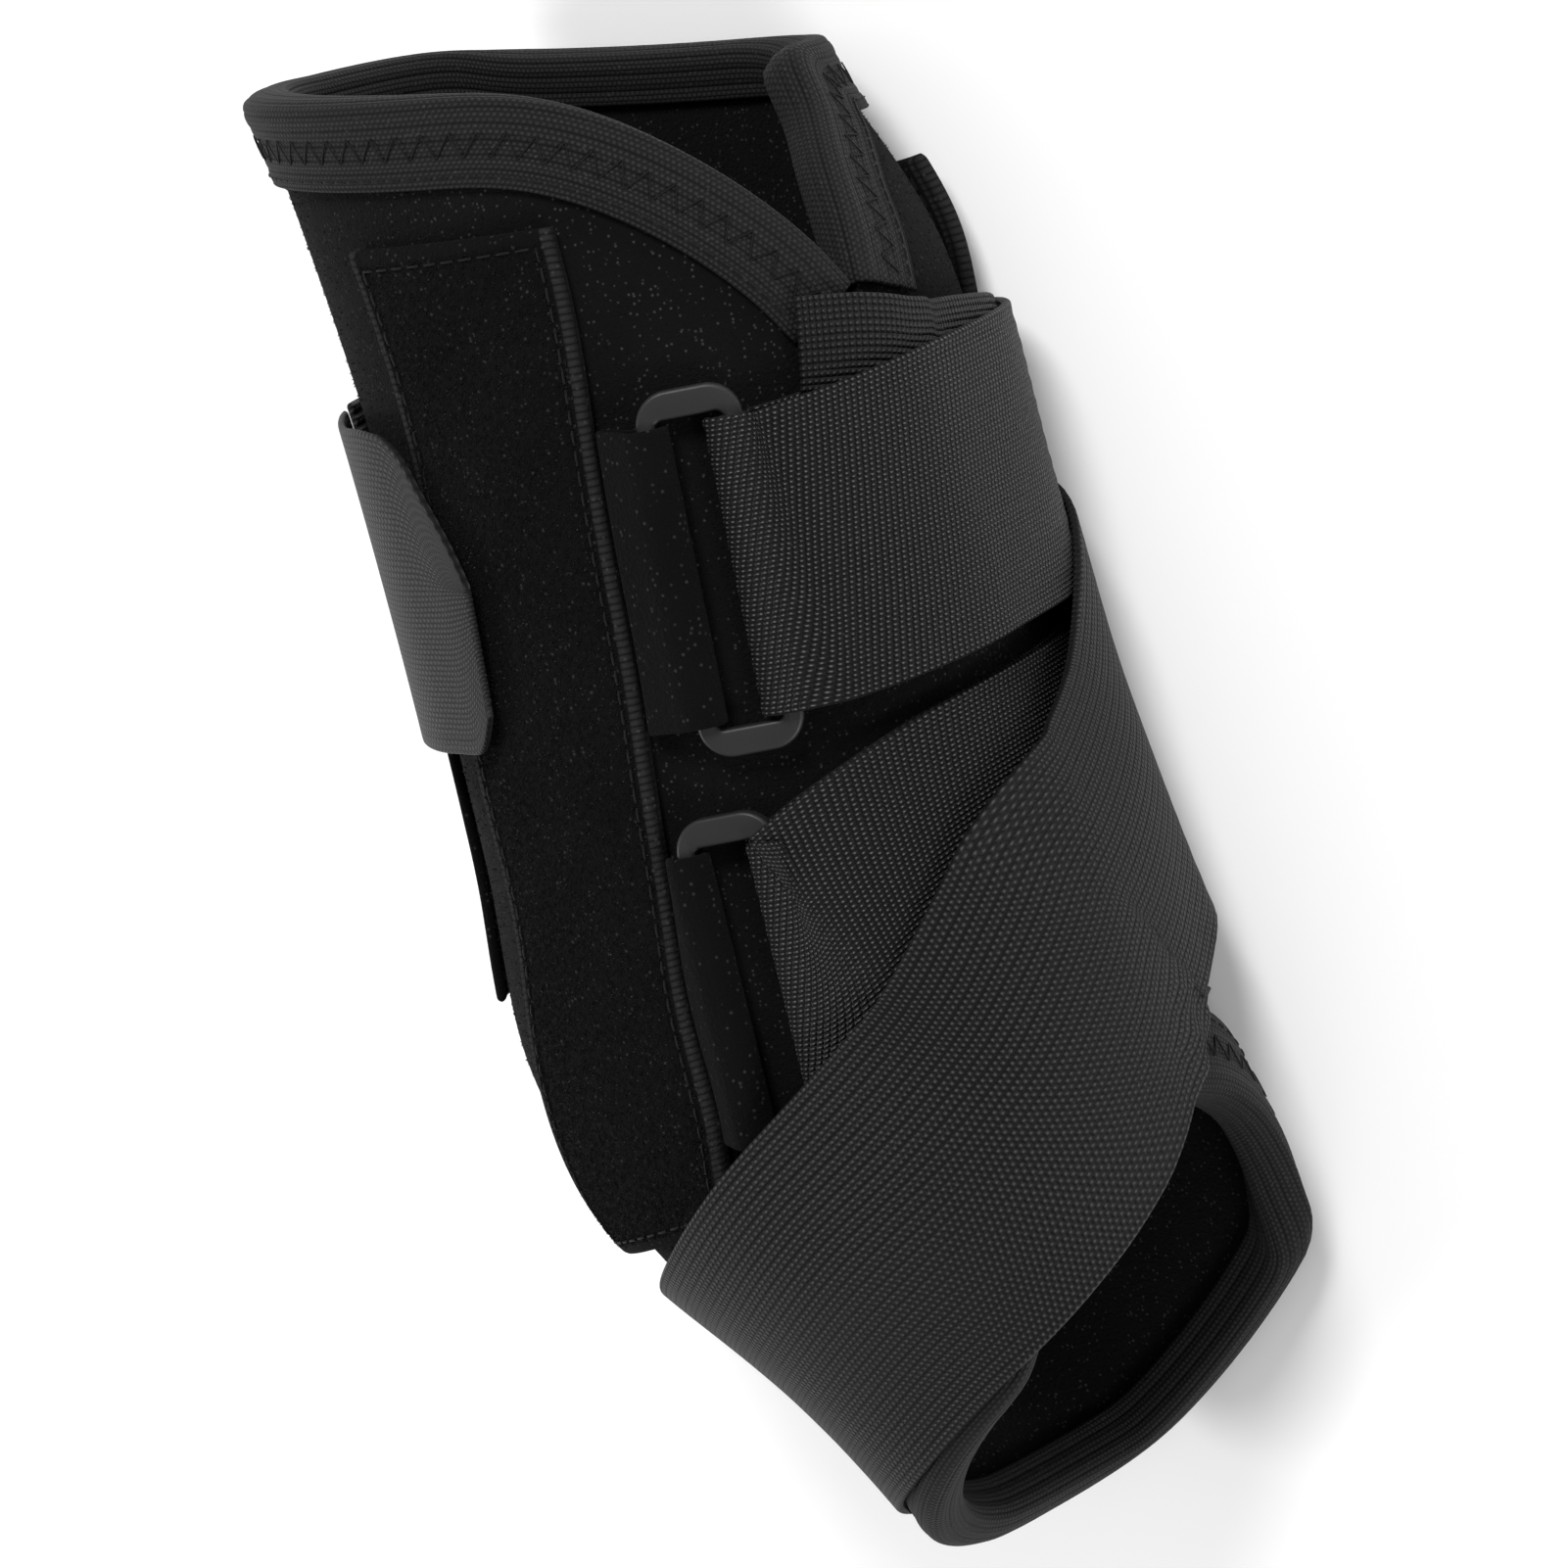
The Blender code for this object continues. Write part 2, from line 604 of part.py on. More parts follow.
def fold_rows(ring, side, shares, slack=0.0):
    # Rows of webbing round one bar of a ring, from under the bar to over it.
    middle, up, round_leg, out = ring_frame(ring)
    bar = middle + round_leg * side * (RING_OPENING + RING_BAR) / 2
    reach_flat = RING_BAR / 2 + RING_GAP + WEB_THICKNESS / 2 + slack
    reach_out = RING_THICKNESS / 2 + RING_GAP + WEB_THICKNESS / 2
    behind = round_leg * side * (RING_BAR / 2 + LAYER_GAP)
    line = [bar + behind - out * reach_out]
    for step in np.linspace(-1, 1, FOLD_STEPS + 1):
        angle = step * math.pi / 2
        inward = round_leg * side * reach_flat * math.cos(angle)
        line.append(bar - inward + out * reach_out * math.sin(angle))
    line.append(bar + behind + out * reach_out)
    return np.array([[point + up * share * STRAP_WIDTH / 2 for share in shares] for point in line])


def run_rows(table, shares, width, pitch=ROW_PITCH):
    # Rows of a strap's run, whose turn rises along it, with its upper edge at share 1.
    table = evenly(table, pitch)
    half = np.full(len(table), width / 2)
    rows = np.stack([table[:, 0], table[:, 1], half, table[:, 2], half, table[:, 2]], axis=1)
    return lay_ribbon(rows, shares)


def build_strap(name, inner_run, outer_run, ring, slack):
    # In along the skin, round the ring's front bar, and back over itself.
    shares = np.linspace(1, -1, STRAP_COLUMNS + 1)
    inner = run_rows(inner_run, shares, STRAP_WIDTH)
    outer = run_rows(outer_run, shares, STRAP_WIDTH)
    points = np.concatenate([inner, fold_rows(ring, -1, shares, slack), outer[::-1]])
    return grid_piece(name, points, WEB_THICKNESS, "webbing")


def build_ring_tab(name, ring, panel):
    # A short loop from the panel's front edge round the ring's back bar and back.
    shares = np.linspace(1, -1, STRAP_COLUMNS + 1)
    bar = fold_rows(ring, 1, shares)
    middle, up, round_leg, out = ring_frame(ring)
    panel = np.asarray(panel, float)
    middle_turn = (ring.top_turn + ring.low_turn) / 2
    middle_station = (ring.top_station + ring.low_station) / 2
    per_turn = np.linalg.norm(slopes_on_sleeve(middle_turn, middle_station)[0])
    stations = middle_station - shares * STRAP_WIDTH / 2 / SLEEVE_LENGTH * TAB_STATION_STRETCH
    turns = through_rows(panel[:, 0], panel[:, 2], stations) - TAB_ROOT_GAP / per_turn
    root_under = laid(turns, stations, BESIDE_SKIN)
    root_over = laid(turns, stations, BESIDE_SKIN + WEB_THICKNESS + LAYER_GAP)
    under = [root_under, (root_under + bar[0]) / 2 + out * TAB_BULGE]
    over = [(root_over + bar[-1]) / 2 + out * TAB_BULGE, root_over]
    points = np.concatenate([under, bar, over])
    return grid_piece(name, points, WEB_THICKNESS, "loop_pile")


def build_wrap():
    shares = np.linspace(1, -1, WRAP_COLUMNS + 1)
    table = evenly(WRAP)
    half = WRAP_WIDTH / 2
    reaches = [[half * share for share in shares] for row in table]
    places = across(table[:, 0:2], reaches)
    mix = smooth_step((1 - shares) / 2 / (1 - WRAP_EASE_START))
    stand = table[:, 2:3] * (1 - mix) + table[:, 3:4] * mix
    turns = places[..., 0]
    bend = np.asarray(WRAP_BEND, float)
    on_bend = through_rows(bend[:, 0], bend[:, 1], turns)
    share = smooth_step((BEND_START - turns) / BEND_BLEND)
    share = share * smooth_step((turns - bend[0, 0]) / BEND_BLEND)
    points = laid(turns, places[..., 1], stand * (1 - share) + on_bend * share)
    return grid_piece("wrap_strap", points, WRAP_THICKNESS, "elastic")


def build_hook_tab():
    shares = np.linspace(1, -1, WRAP_COLUMNS + 1)
    table = evenly(HOOK_TAB, TAB_PITCH)
    half = WRAP_WIDTH / 2
    rows = np.stack([table[:, 0], table[:, 1], table[:, 2] * half, table[:, 4],
                     table[:, 3] * half, table[:, 4]], axis=1)
    return grid_piece("hook_tab", lay_ribbon(rows, shares), HOOK_TAB_THICKNESS, "hook")


def build_run(name, table, width, thickness, finish, columns=STRAP_COLUMNS, pitch=ROW_PITCH):
    shares = np.linspace(1, -1, columns + 1)
    return grid_piece(name, run_rows(table, shares, width, pitch), thickness, finish)


def seat_on_floor(seat):
    # Bring the floor side down to Z = 0 and the middle of the object's box over the origin.
    bpy.context.view_layer.update()
    graph = bpy.context.evaluated_depsgraph_get()
    corners = []
    for piece in PARTS.objects:
        mesh = piece.evaluated_get(graph).to_mesh()
        corners += [piece.matrix_world @ vertex.co for vertex in mesh.vertices]
    corners = np.array(corners)
    low, high = corners.min(axis=0), corners.max(axis=0)
    middle = (low + high) / 2
    seat.location = (-middle[0], -middle[1], -low[2])
    bpy.context.view_layer.update()


for old in list(bpy.data.objects):
    bpy.data.objects.remove(old)
PARTS = bpy.data.collections.new("ankle_stabilizer")
CUTTERS = bpy.data.collections.new("cutters")
bpy.context.scene.collection.children.link(PARTS)
bpy.context.scene.collection.children.link(CUTTERS)
SEAT = bpy.data.objects.new("seat", None)
bpy.context.scene.collection.objects.link(SEAT)

build_sleeve()
build_binding("top_binding", leg_rim_path(), closed=False)
build_binding("foot_binding", foot_rim_path(), closed=True)
strip_piece("near_stay_panel", NEAR_PANEL, NEAR_PANEL_COLUMNS)
strip_piece("far_stay_panel", FAR_PANEL, FAR_PANEL_COLUMNS)
build_ring(UPPER_RING)
build_ring(LOWER_RING)
build_ring_tab("upper_ring_tab", UPPER_RING, NEAR_PANEL)
build_ring_tab("lower_ring_tab", LOWER_RING, NEAR_PANEL)
build_strap("upper_strap", UPPER_INNER_RUN, UPPER_OUTER_RUN, UPPER_RING, UPPER_FOLD_SLACK)
build_strap("lower_strap", LOWER_INNER_RUN, LOWER_OUTER_RUN, LOWER_RING, LOWER_FOLD_SLACK)
build_run("closure_tab", CLOSURE_RUN, CLOSURE_WIDTH, WEB_THICKNESS, "webbing")
build_wrap()
build_hook_tab()
build_run("back_pile_patch", PATCH_RUN, PATCH_HEIGHT, PATCH_THICKNESS, "loop_pile",
          PATCH_COLUMNS, PATCH_PITCH)
seat_on_floor(SEAT)
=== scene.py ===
import math
import bmesh
import bpy
import numpy as np
from mathutils import Matrix, Vector


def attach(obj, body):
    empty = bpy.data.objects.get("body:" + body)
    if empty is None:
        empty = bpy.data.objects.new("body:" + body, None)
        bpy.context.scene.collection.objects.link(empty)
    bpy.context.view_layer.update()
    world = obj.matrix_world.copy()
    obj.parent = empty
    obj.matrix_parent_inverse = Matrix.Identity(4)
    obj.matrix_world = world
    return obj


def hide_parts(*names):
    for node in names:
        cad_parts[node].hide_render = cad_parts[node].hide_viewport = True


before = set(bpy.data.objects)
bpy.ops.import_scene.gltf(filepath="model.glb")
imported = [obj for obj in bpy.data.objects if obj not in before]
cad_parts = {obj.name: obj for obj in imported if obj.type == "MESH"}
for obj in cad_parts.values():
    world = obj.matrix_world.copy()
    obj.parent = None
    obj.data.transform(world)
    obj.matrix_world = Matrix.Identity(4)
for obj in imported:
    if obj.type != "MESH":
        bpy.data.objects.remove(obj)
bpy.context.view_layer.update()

# The brace lies on its far side. X runs from the back of the leg to its front, Y up the leg, Z up.
# Places on the sleeve are a turn round the leg in degrees (0 front, 90 upper side, 180 back,
# 270 floor side), a station down it (0 leg rim, 1 foot rim) and a stand off its outer face.
# A stitch, tuft or weave pitch is in metres, and so is every UV map here.
seat = np.array((0.002563855, 0.119901091, 0.007104908))  # from the sleeve's own axes to the floor

sleeveSizes = {
    "length": 0.238, "legWidth": 0.092, "legDepth": 0.072, "wall": 0.003,
    "notchDepth": 0.0466, "notchTurn": 10.5, "wingTurn": -12.0, "flatShare": 0.88,
    "nearWingTurn": 85.0, "nearWingCurve": 3.0,
    "scoopTurn": 5.0, "scoopFarHalf": 52.0, "scoopNearHalf": 70.0, "scoopDepth": 0.185,
    "heelStation": 0.745, "heelHoleLength": 0.046, "heelHoleReach": 0.013,
    "columns": 200, "notchRows": 20, "bodyRows": 96,
}
# station, front fore, front down, back fore, back down, depth, skew
sleeveSections = np.array((
    (0.00, 0.240, 0.054, -0.635, 0.004, 0.97, 0.03),
    (0.17, 0.395, 0.190, -0.585, 0.168, 1.00, 0.01),
    (0.34, 0.415, 0.348, -0.568, 0.336, 1.00, 0.00),
    (0.51, 0.428, 0.495, -0.575, 0.508, 1.00, 0.00),
    (0.64, 0.482, 0.605, -0.600, 0.650, 1.00, 0.00),
    (0.77, 0.533, 0.700, -0.475, 0.770, 0.98, 0.02),
    (0.89, 0.557, 0.762, -0.205, 0.886, 0.94, 0.05),
    (1.00, 0.553, 0.828, -0.005, 1.004, 0.89, 0.08),
))
layerGap = 0.0004
webThickness = 0.0012
strapWidth = 0.044
wrapWidth = 0.050
ringSizes = {"bar": 0.0028, "end": 0.0042, "thickness": 0.0024, "opening": 0.0100,
             "sideClearance": 0.0008, "corner": 0.0050, "innerCorner": 0.0012,
             "edgeRound": 0.0006, "gap": 0.0006}


# ---- places on the sleeve ----

def throughRows(knots, values, at):
    # smooth curve through a table's rows
    knots, values = np.asarray(knots, float), np.asarray(values, float)
    at = np.clip(np.asarray(at, float), knots[0], knots[-1])
    slopes = np.gradient(values, knots, axis=0)
    cell = np.clip(np.searchsorted(knots, at, side="right") - 1, 0, len(knots) - 2)
    width = knots[cell + 1] - knots[cell]
    share = (at - knots[cell]) / width
    if values.ndim > 1:
        width, share = width[..., None], share[..., None]
    rest = 1 - share
    return ((1 + 2 * share) * rest ** 2 * values[cell] + share ** 2 * (3 - 2 * share) * values[cell + 1]
            + width * (share * rest ** 2 * slopes[cell] + share ** 2 * (share - 1) * slopes[cell + 1]))


def smoothStep(share):
    share = np.clip(share, 0, 1)
    return share ** 2 * (3 - 2 * share)


def onSleeve(turn, station):
    # point of the sleeve's outer face
    s = sleeveSizes
    turn, station = np.broadcast_arrays(np.radians(np.asarray(turn, float)), np.asarray(station, float))
    scale = np.array((s["legWidth"], -s["length"], s["legWidth"], -s["length"], s["legDepth"], s["legDepth"]))
    row = throughRows(sleeveSections[:, 0], sleeveSections[:, 1:] * scale, station)
    front, back = row[..., 0:2], row[..., 2:4]
    half = row[..., 4] / 2
    down = np.stack([back[..., 1] - front[..., 1], front[..., 0] - back[..., 0]], axis=-1)
    down = down / -np.linalg.norm(down, axis=-1, keepdims=True)
    fore, side = np.cos(turn), np.sin(turn)
    plan = (front + back) / 2 + (front - back) / 2 * fore[..., None]
    plan = plan - down * (side * row[..., 5])[..., None]
    pressed = 1 - np.clip(1 + side / s["flatShare"], 0, 1) ** 2
    height = np.where(side > 0, half * (1 + side), half * (1 - pressed))
    return np.concatenate([plan, height[..., None]], axis=-1)


def slopesOnSleeve(turn, station):
    turn, station = np.broadcast_arrays(np.asarray(turn, float), np.asarray(station, float))
    low, high = np.clip(station - 0.002, 0, 1), np.clip(station + 0.002, 0, 1)
    perTurn = (onSleeve(turn + 0.25, station) - onSleeve(turn - 0.25, station)) / 0.5
    perStation = (onSleeve(turn, high) - onSleeve(turn, low)) / (high - low)[..., None]
    return perTurn, perStation


def unit(arrows):
    return arrows / np.maximum(np.linalg.norm(arrows, axis=-1, keepdims=True), 1e-12)


def outward(turn, station):
    perTurn, perStation = slopesOnSleeve(turn, station)
    return unit(np.cross(perTurn, perStation))


def laid(turn, station, stand):
    stand = np.asarray(stand, float)
    return onSleeve(turn, station) + outward(turn, station) * stand[..., None]


def march(turn, station, heading, distance, strides=4):
    # walk many places at once along the outer face, straight as cloth would lie
    turn, station = turn.astype(float).copy(), station.astype(float).copy()
    stride = distance / strides
    for _ in range(strides):
        perTurn, perStation = slopesOnSleeve(turn, station)
        move = heading * stride[..., None]
        aa, bb = (perTurn ** 2).sum(-1), (perStation ** 2).sum(-1)
        ab = (perTurn * perStation).sum(-1)
        am, bm = (perTurn * move).sum(-1), (perStation * move).sum(-1)
        spread = aa * bb - ab * ab
        turn = turn + (am * bb - bm * ab) / spread
        station = np.clip(station + (bm * aa - am * ab) / spread, 0, 1)
        normal = outward(turn, station)
        heading = unit(heading - normal * (heading * normal).sum(-1, keepdims=True))
    return turn, station


def across(path, reaches):
    # places beside a path, to the side of heading x outward where a reach is positive
    path, reaches = np.asarray(path, float), np.asarray(reaches, float)
    points = onSleeve(path[:, 0], path[:, 1])
    steps = unit(np.diff(points, axis=0))
    before = np.vstack([steps[:1], steps])
    after = np.vstack([steps, steps[-1:]])
    heading = unit(before + after)
    stretch = 1 / (heading * before).sum(-1)
    beside = unit(np.cross(heading, outward(path[:, 0], path[:, 1])))
    way = np.where(reaches[..., None] >= 0, beside[:, None, :], -beside[:, None, :])
    turn = np.repeat(path[:, 0:1], reaches.shape[1], axis=1)
    station = np.repeat(path[:, 1:2], reaches.shape[1], axis=1)
    return march(turn, station, way, np.abs(reaches) * stretch[:, None])


def evenly(table, pitch):
    # rows of a table spaced evenly along the path that its turns and stations give
    table = np.asarray(table, float)
    at = np.linspace(0, len(table) - 1, 60 * len(table))
    dense = throughRows(np.arange(len(table)), table, at)
    points = onSleeve(dense[:, 0], dense[:, 1])
    length = np.concatenate([[0], np.cumsum(np.linalg.norm(np.diff(points, axis=0), axis=1))])
    count = max(int(round(length[-1] / pitch)), 2)
    at = np.linspace(0, length[-1], count + 1)
    return np.stack([np.interp(at, length, dense[:, k]) for k in range(table.shape[1])], axis=1)


# ---- cloth ----

def spread(length, pitch, endRound=0.0):
    # positions along a length, closer together near its two round edges
    count = max(int(round(length / pitch)), 2)
    at = np.linspace(0, length, count + 1)
    if endRound:
        near = endRound * np.array((0.0, 0.04, 0.15, 0.35, 0.65))
        keep = at[(at > endRound * 0.95) & (at < length - endRound * 0.95)]
        at = np.concatenate([near, keep, length - near[::-1]])
    return at


def roundOff(at, length, endRound):
    # share of the full thickness left near a round edge
    if not endRound:
        return np.ones(len(at))
    inside = np.clip(np.minimum(at, length - at) / endRound, 0, 1)
    return np.sqrt(np.clip(1 - (1 - inside) ** 2, 0, 1))


def along(points):
    # running length of a grid's rows, by the mean over its columns
    steps = np.linalg.norm(np.diff(points, axis=0), axis=2).mean(axis=1)
    return np.concatenate([[0], np.cumsum(steps)])


def resample(points, rowAt, columnAt, rowKnots, columnKnots):
    rows, columns = points.shape[0:2]
    fine = throughRows(rowKnots, points.reshape(rows, columns * 3), rowAt).reshape(len(rowAt), columns, 3)
    fine = fine.transpose(1, 0, 2).reshape(columns, -1)
    return throughRows(columnKnots, fine, columnAt).reshape(len(columnAt), len(rowAt), 3).transpose(1, 0, 2)


def gridNormals(points, closed=False):
    if closed:
        ring = np.concatenate([points[-2:-1], points, points[1:2]])
        down = (ring[2:] - ring[:-2])
    else:
        down = np.gradient(points, axis=0)
    over = np.gradient(points, axis=1)
    return unit(np.cross(down, over))


def meshObject(name, verts, faces, material, uv=None):
    mesh = bpy.data.meshes.new(name)
    mesh.from_pydata(np.asarray(verts, float).tolist(), [], np.asarray(faces).tolist())
    mesh.materials.append(material)
    if uv is not None:
        layer = mesh.uv_layers.new(name="UVMap")
        corners = np.empty(len(mesh.loops), dtype=np.int32)
        mesh.loops.foreach_get("vertex_index", corners)
        layer.data.foreach_set("uv", np.asarray(uv, np.float32)[corners].ravel())
    mesh.shade_smooth()
    mesh.validate()
    thing = bpy.data.objects.new(name, mesh)
    bpy.context.scene.collection.objects.link(thing)
    return thing


def clothPiece(name, coarse, thickness, material, pitch, relief=None, facing=1, endRounds=None,
               closed=False, reliefBack=None):
    # one closed cloth: a coarse mid surface made fine, with round edges and a relief on its face
    rowKnots, columnKnots = along(coarse), along(coarse.transpose(1, 0, 2))
    length, width = rowKnots[-1], columnKnots[-1]
    rowRound, columnRound = endRounds or (thickness * 0.5, thickness * 0.5)
    if closed:
        rowRound = 0.0
        pad = np.concatenate([coarse[-4:-1], coarse, coarse[1:4]])
        padKnots = along(pad)
        padKnots = padKnots - padKnots[3]
        rowAt = spread(length, pitch[0])
        middle = resample(pad, rowAt, spread(width, pitch[1], columnRound), padKnots, columnKnots)
        middle[-1] = middle[0]
    else:
        rowAt = spread(length, pitch[0], rowRound)
        middle = resample(coarse, rowAt, spread(width, pitch[1], columnRound), rowKnots, columnKnots)
    columnAt = spread(width, pitch[1], columnRound)
    normals = gridNormals(middle, closed) * facing
    full = roundOff(rowAt, length, rowRound)[:, None] * roundOff(columnAt, width, columnRound)[None, :]
    u, v = np.meshgrid(rowAt, columnAt, indexing="ij")
    rise = relief(u, v, length, width) if relief else 0.0
    riseBack = reliefBack(u, v, length, width) if reliefBack else 0.0
    outer = middle + normals * ((thickness / 2 + rise) * full)[..., None]
    inner = middle - normals * ((thickness / 2 + riseBack) * full)[..., None]
    rows, columns = outer.shape[0:2]
    index = np.arange(rows * columns).reshape(rows, columns)
    back = index + rows * columns
    if not closed:
        back[0], back[-1] = index[0], index[-1]
    back[:, 0], back[:, -1] = index[:, 0], index[:, -1]
    if closed:
        index[-1], back[-1] = index[0], back[0]
    quads = []
    for grid, flip in ((index, facing < 0), (back, facing > 0)):
        corners = np.stack([grid[:-1, :-1], grid[1:, :-1], grid[1:, 1:], grid[:-1, 1:]], axis=-1).reshape(-1, 4)
        quads.append(corners[:, ::-1] if flip else corners)
    faces = np.vstack(quads)
    verts = np.concatenate([outer.reshape(-1, 3), inner.reshape(-1, 3)]) + seat
    uv = np.tile(np.stack([u.ravel(), v.ravel()], axis=1), (2, 1))
    used = np.unique(faces)
    remap = np.full(len(verts), -1)
    remap[used] = np.arange(len(used))
    if closed:  # the seam's UV runs back over one row only
        uv = uv.copy()
    piece = meshObject(name, verts[used], remap[faces], material, uv[used])
    print("cloth", name, "faces", len(faces), "length", round(float(length), 4), "width", round(float(width), 4))
    return piece, {"outer": outer + seat, "inner": inner + seat, "normals": normals, "rowAt": rowAt,
                   "columnAt": columnAt, "length": float(length), "width": float(width)}


def onCloth(face, u, v, inner=False):
    # point and normal of a finished cloth's face
    rowAt, columnAt = face["rowAt"], face["columnAt"]
    row = np.clip(np.searchsorted(rowAt, u, side="right") - 1, 0, len(rowAt) - 2)
    column = np.clip(np.searchsorted(columnAt, v, side="right") - 1, 0, len(columnAt) - 2)
    a = ((u - rowAt[row]) / (rowAt[row + 1] - rowAt[row]))[:, None]
    b = ((v - columnAt[column]) / (columnAt[column + 1] - columnAt[column]))[:, None]

    def mix(grid):
        return ((1 - a) * (1 - b) * grid[row, column] + a * (1 - b) * grid[row + 1, column]
                + (1 - a) * b * grid[row, column + 1] + a * b * grid[row + 1, column + 1])
    sign = -1 if inner else 1
    return mix(face["inner" if inner else "outer"]), unit(mix(face["normals"])) * sign


# ---- materials ----

def makeGroup(name, inputs, outputs, build):
    group = bpy.data.node_groups.new(name, "ShaderNodeTree")
    for label, kind, value in inputs:
        socket = group.interface.new_socket(label, in_out="INPUT", socket_type=kind)
        if value is not None:
            socket.default_value = value
    for label, kind in outputs:
        group.interface.new_socket(label, in_out="OUTPUT", socket_type=kind)
    start, end = group.nodes.new("NodeGroupInput"), group.nodes.new("NodeGroupOutput")
    build(group, start, end)
    return group


def calc(tree, operation, first, second=None, third=None, clamp=False):
    # one math node, its inputs given as numbers or sockets
    node = tree.nodes.new("ShaderNodeMath")
    node.operation = operation
    node.use_clamp = clamp
    for socket, value in zip(node.inputs, (first, second, third)):
        if value is None:
            continue
        if isinstance(value, (int, float)):
            socket.default_value = value
        else:
            tree.links.new(value, socket)
    return node.outputs[0]


def buildWeave(group, start, end):
    # threads that pass over and under: columns of bumps, each shifted against the next, and the tops where threads
    # cross as a mask for a painted highlight
    split = group.nodes.new("ShaderNodeSeparateXYZ")
    group.links.new(start.outputs["Place"], split.inputs[0])
    wobble = group.nodes.new("ShaderNodeTexNoise")
    wobble.inputs["Scale"].default_value = 900.0
    wobble.inputs["Detail"].default_value = 2.0
    group.links.new(start.outputs["Place"], wobble.inputs["Vector"])
    jitter = calc(group, "MULTIPLY", calc(group, "SUBTRACT", wobble.outputs["Fac"], 0.5), start.outputs["Irregular"])
    column = calc(group, "ADD", calc(group, "DIVIDE", split.outputs[1], start.outputs["AcrossPitch"]), jitter)
    shift = calc(group, "MULTIPLY", calc(group, "FLOOR", column), start.outputs["Shift"])
    row = calc(group, "ADD", calc(group, "DIVIDE", split.outputs[0], start.outputs["AlongPitch"]), shift)
    row = calc(group, "ADD", row, jitter)
    overColumn = calc(group, "ABSOLUTE", calc(group, "SINE", calc(group, "MULTIPLY", column, math.pi)))
    overRow = calc(group, "ABSOLUTE", calc(group, "SINE", calc(group, "MULTIPLY", row, math.pi)))
    height = calc(group, "MULTIPLY", calc(group, "POWER", overColumn, 0.6), calc(group, "POWER", overRow, 0.6))
    group.links.new(height, end.inputs["Height"])
    # painted highlight: a mask of the tops where the threads cross
    dots = calc(group, "POWER", calc(group, "MULTIPLY", overColumn, overRow), 6.0)
    group.links.new(dots, end.inputs["PaintedTopHighlight"])


def buildFibres(group, start, end):
    # short fibres, a mask of pale loose fibres that also stands for painted glints where fibres catch the light, and a
    # slow change over the cloth
    fine = group.nodes.new("ShaderNodeTexNoise")
    fine.inputs["Detail"].default_value = 3.0
    fine.inputs["Roughness"].default_value = 0.7
    group.links.new(start.outputs["Place"], fine.inputs["Vector"])
    group.links.new(start.outputs["Scale"], fine.inputs["Scale"])
    cells = group.nodes.new("ShaderNodeTexVoronoi")
    cells.feature = "F1"
    group.links.new(start.outputs["Place"], cells.inputs["Vector"])
    group.links.new(calc(group, "MULTIPLY", start.outputs["Scale"], 0.8), cells.inputs["Scale"])
    # pale loose fibres together with painted glints of fibres catching the light
    speck = calc(group, "SUBTRACT", 1.0, calc(group, "DIVIDE", cells.outputs["Distance"], start.outputs["SpeckSize"]),
                 clamp=True)
    pick = group.nodes.new("ShaderNodeSeparateColor")
    group.links.new(cells.outputs["Color"], pick.inputs[0])
    chosen = calc(group, "GREATER_THAN", pick.outputs[0], start.outputs["SpeckRarity"])
    group.links.new(calc(group, "MULTIPLY", speck, chosen), end.inputs["LintAndPaintedGlints"])
    group.links.new(fine.outputs["Fac"], end.inputs["Height"])
    slow = group.nodes.new("ShaderNodeTexNoise")
    slow.inputs["Scale"].default_value = 60.0
    slow.inputs["Detail"].default_value = 3.0
    group.links.new(start.outputs["Place"], slow.inputs["Vector"])
    group.links.new(slow.outputs["Fac"], end.inputs["Patches"])


def buildEdgeBand(group, start, end):
    # 1 along the two long edges of a strip of the given width, as a woven edge has
    split = group.nodes.new("ShaderNodeSeparateXYZ")
    group.links.new(start.outputs["Place"], split.inputs[0])
    far = calc(group, "SUBTRACT", start.outputs["Width"], split.outputs[1])
    near = calc(group, "MINIMUM", split.outputs[1], far)
    band = calc(group, "SUBTRACT", 1.0, calc(group, "DIVIDE", near, start.outputs["Band"]))
    group.links.new(calc(group, "MULTIPLY", band, 8.0, clamp=True), end.inputs["Mask"])


def buildRibs(group, start, end):
    # round ribs that run along a strip, with narrow grooves between them
    split = group.nodes.new("ShaderNodeSeparateXYZ")
    group.links.new(start.outputs["Place"], split.inputs[0])
    phase = calc(group, "MULTIPLY", calc(group, "DIVIDE", split.outputs[1], start.outputs["Pitch"]), math.pi)
    wave = calc(group, "ABSOLUTE", calc(group, "SINE", phase))
    group.links.new(calc(group, "POWER", wave, start.outputs["Sharpness"]), end.inputs["Height"])


ribGroup = makeGroup(
    "lengthwiseRibs",
    [("Place", "NodeSocketVector", None), ("Pitch", "NodeSocketFloat", 0.002), ("Sharpness", "NodeSocketFloat", 0.6)],
    [("Height", "NodeSocketFloat")], buildRibs)
weaveGroup = makeGroup(
    "threadWeave",
    [("Place", "NodeSocketVector", None), ("AlongPitch", "NodeSocketFloat", 0.001),
     ("AcrossPitch", "NodeSocketFloat", 0.001), ("Shift", "NodeSocketFloat", 0.5),
     ("Irregular", "NodeSocketFloat", 0.15)],
    [("Height", "NodeSocketFloat"), ("PaintedTopHighlight", "NodeSocketFloat")], buildWeave)
fibreGroup = makeGroup(
    "looseFibres",
    [("Place", "NodeSocketVector", None), ("Scale", "NodeSocketFloat", 1500.0),
     ("SpeckSize", "NodeSocketFloat", 0.35), ("SpeckRarity", "NodeSocketFloat", 0.7)],
    [("Height", "NodeSocketFloat"), ("LintAndPaintedGlints", "NodeSocketFloat"), ("Patches", "NodeSocketFloat")], buildFibres)
edgeGroup = makeGroup(
    "wovenEdge",
    [("Place", "NodeSocketVector", None), ("Width", "NodeSocketFloat", 0.044), ("Band", "NodeSocketFloat", 0.002)],
    [("Mask", "NodeSocketFloat")], buildEdgeBand)


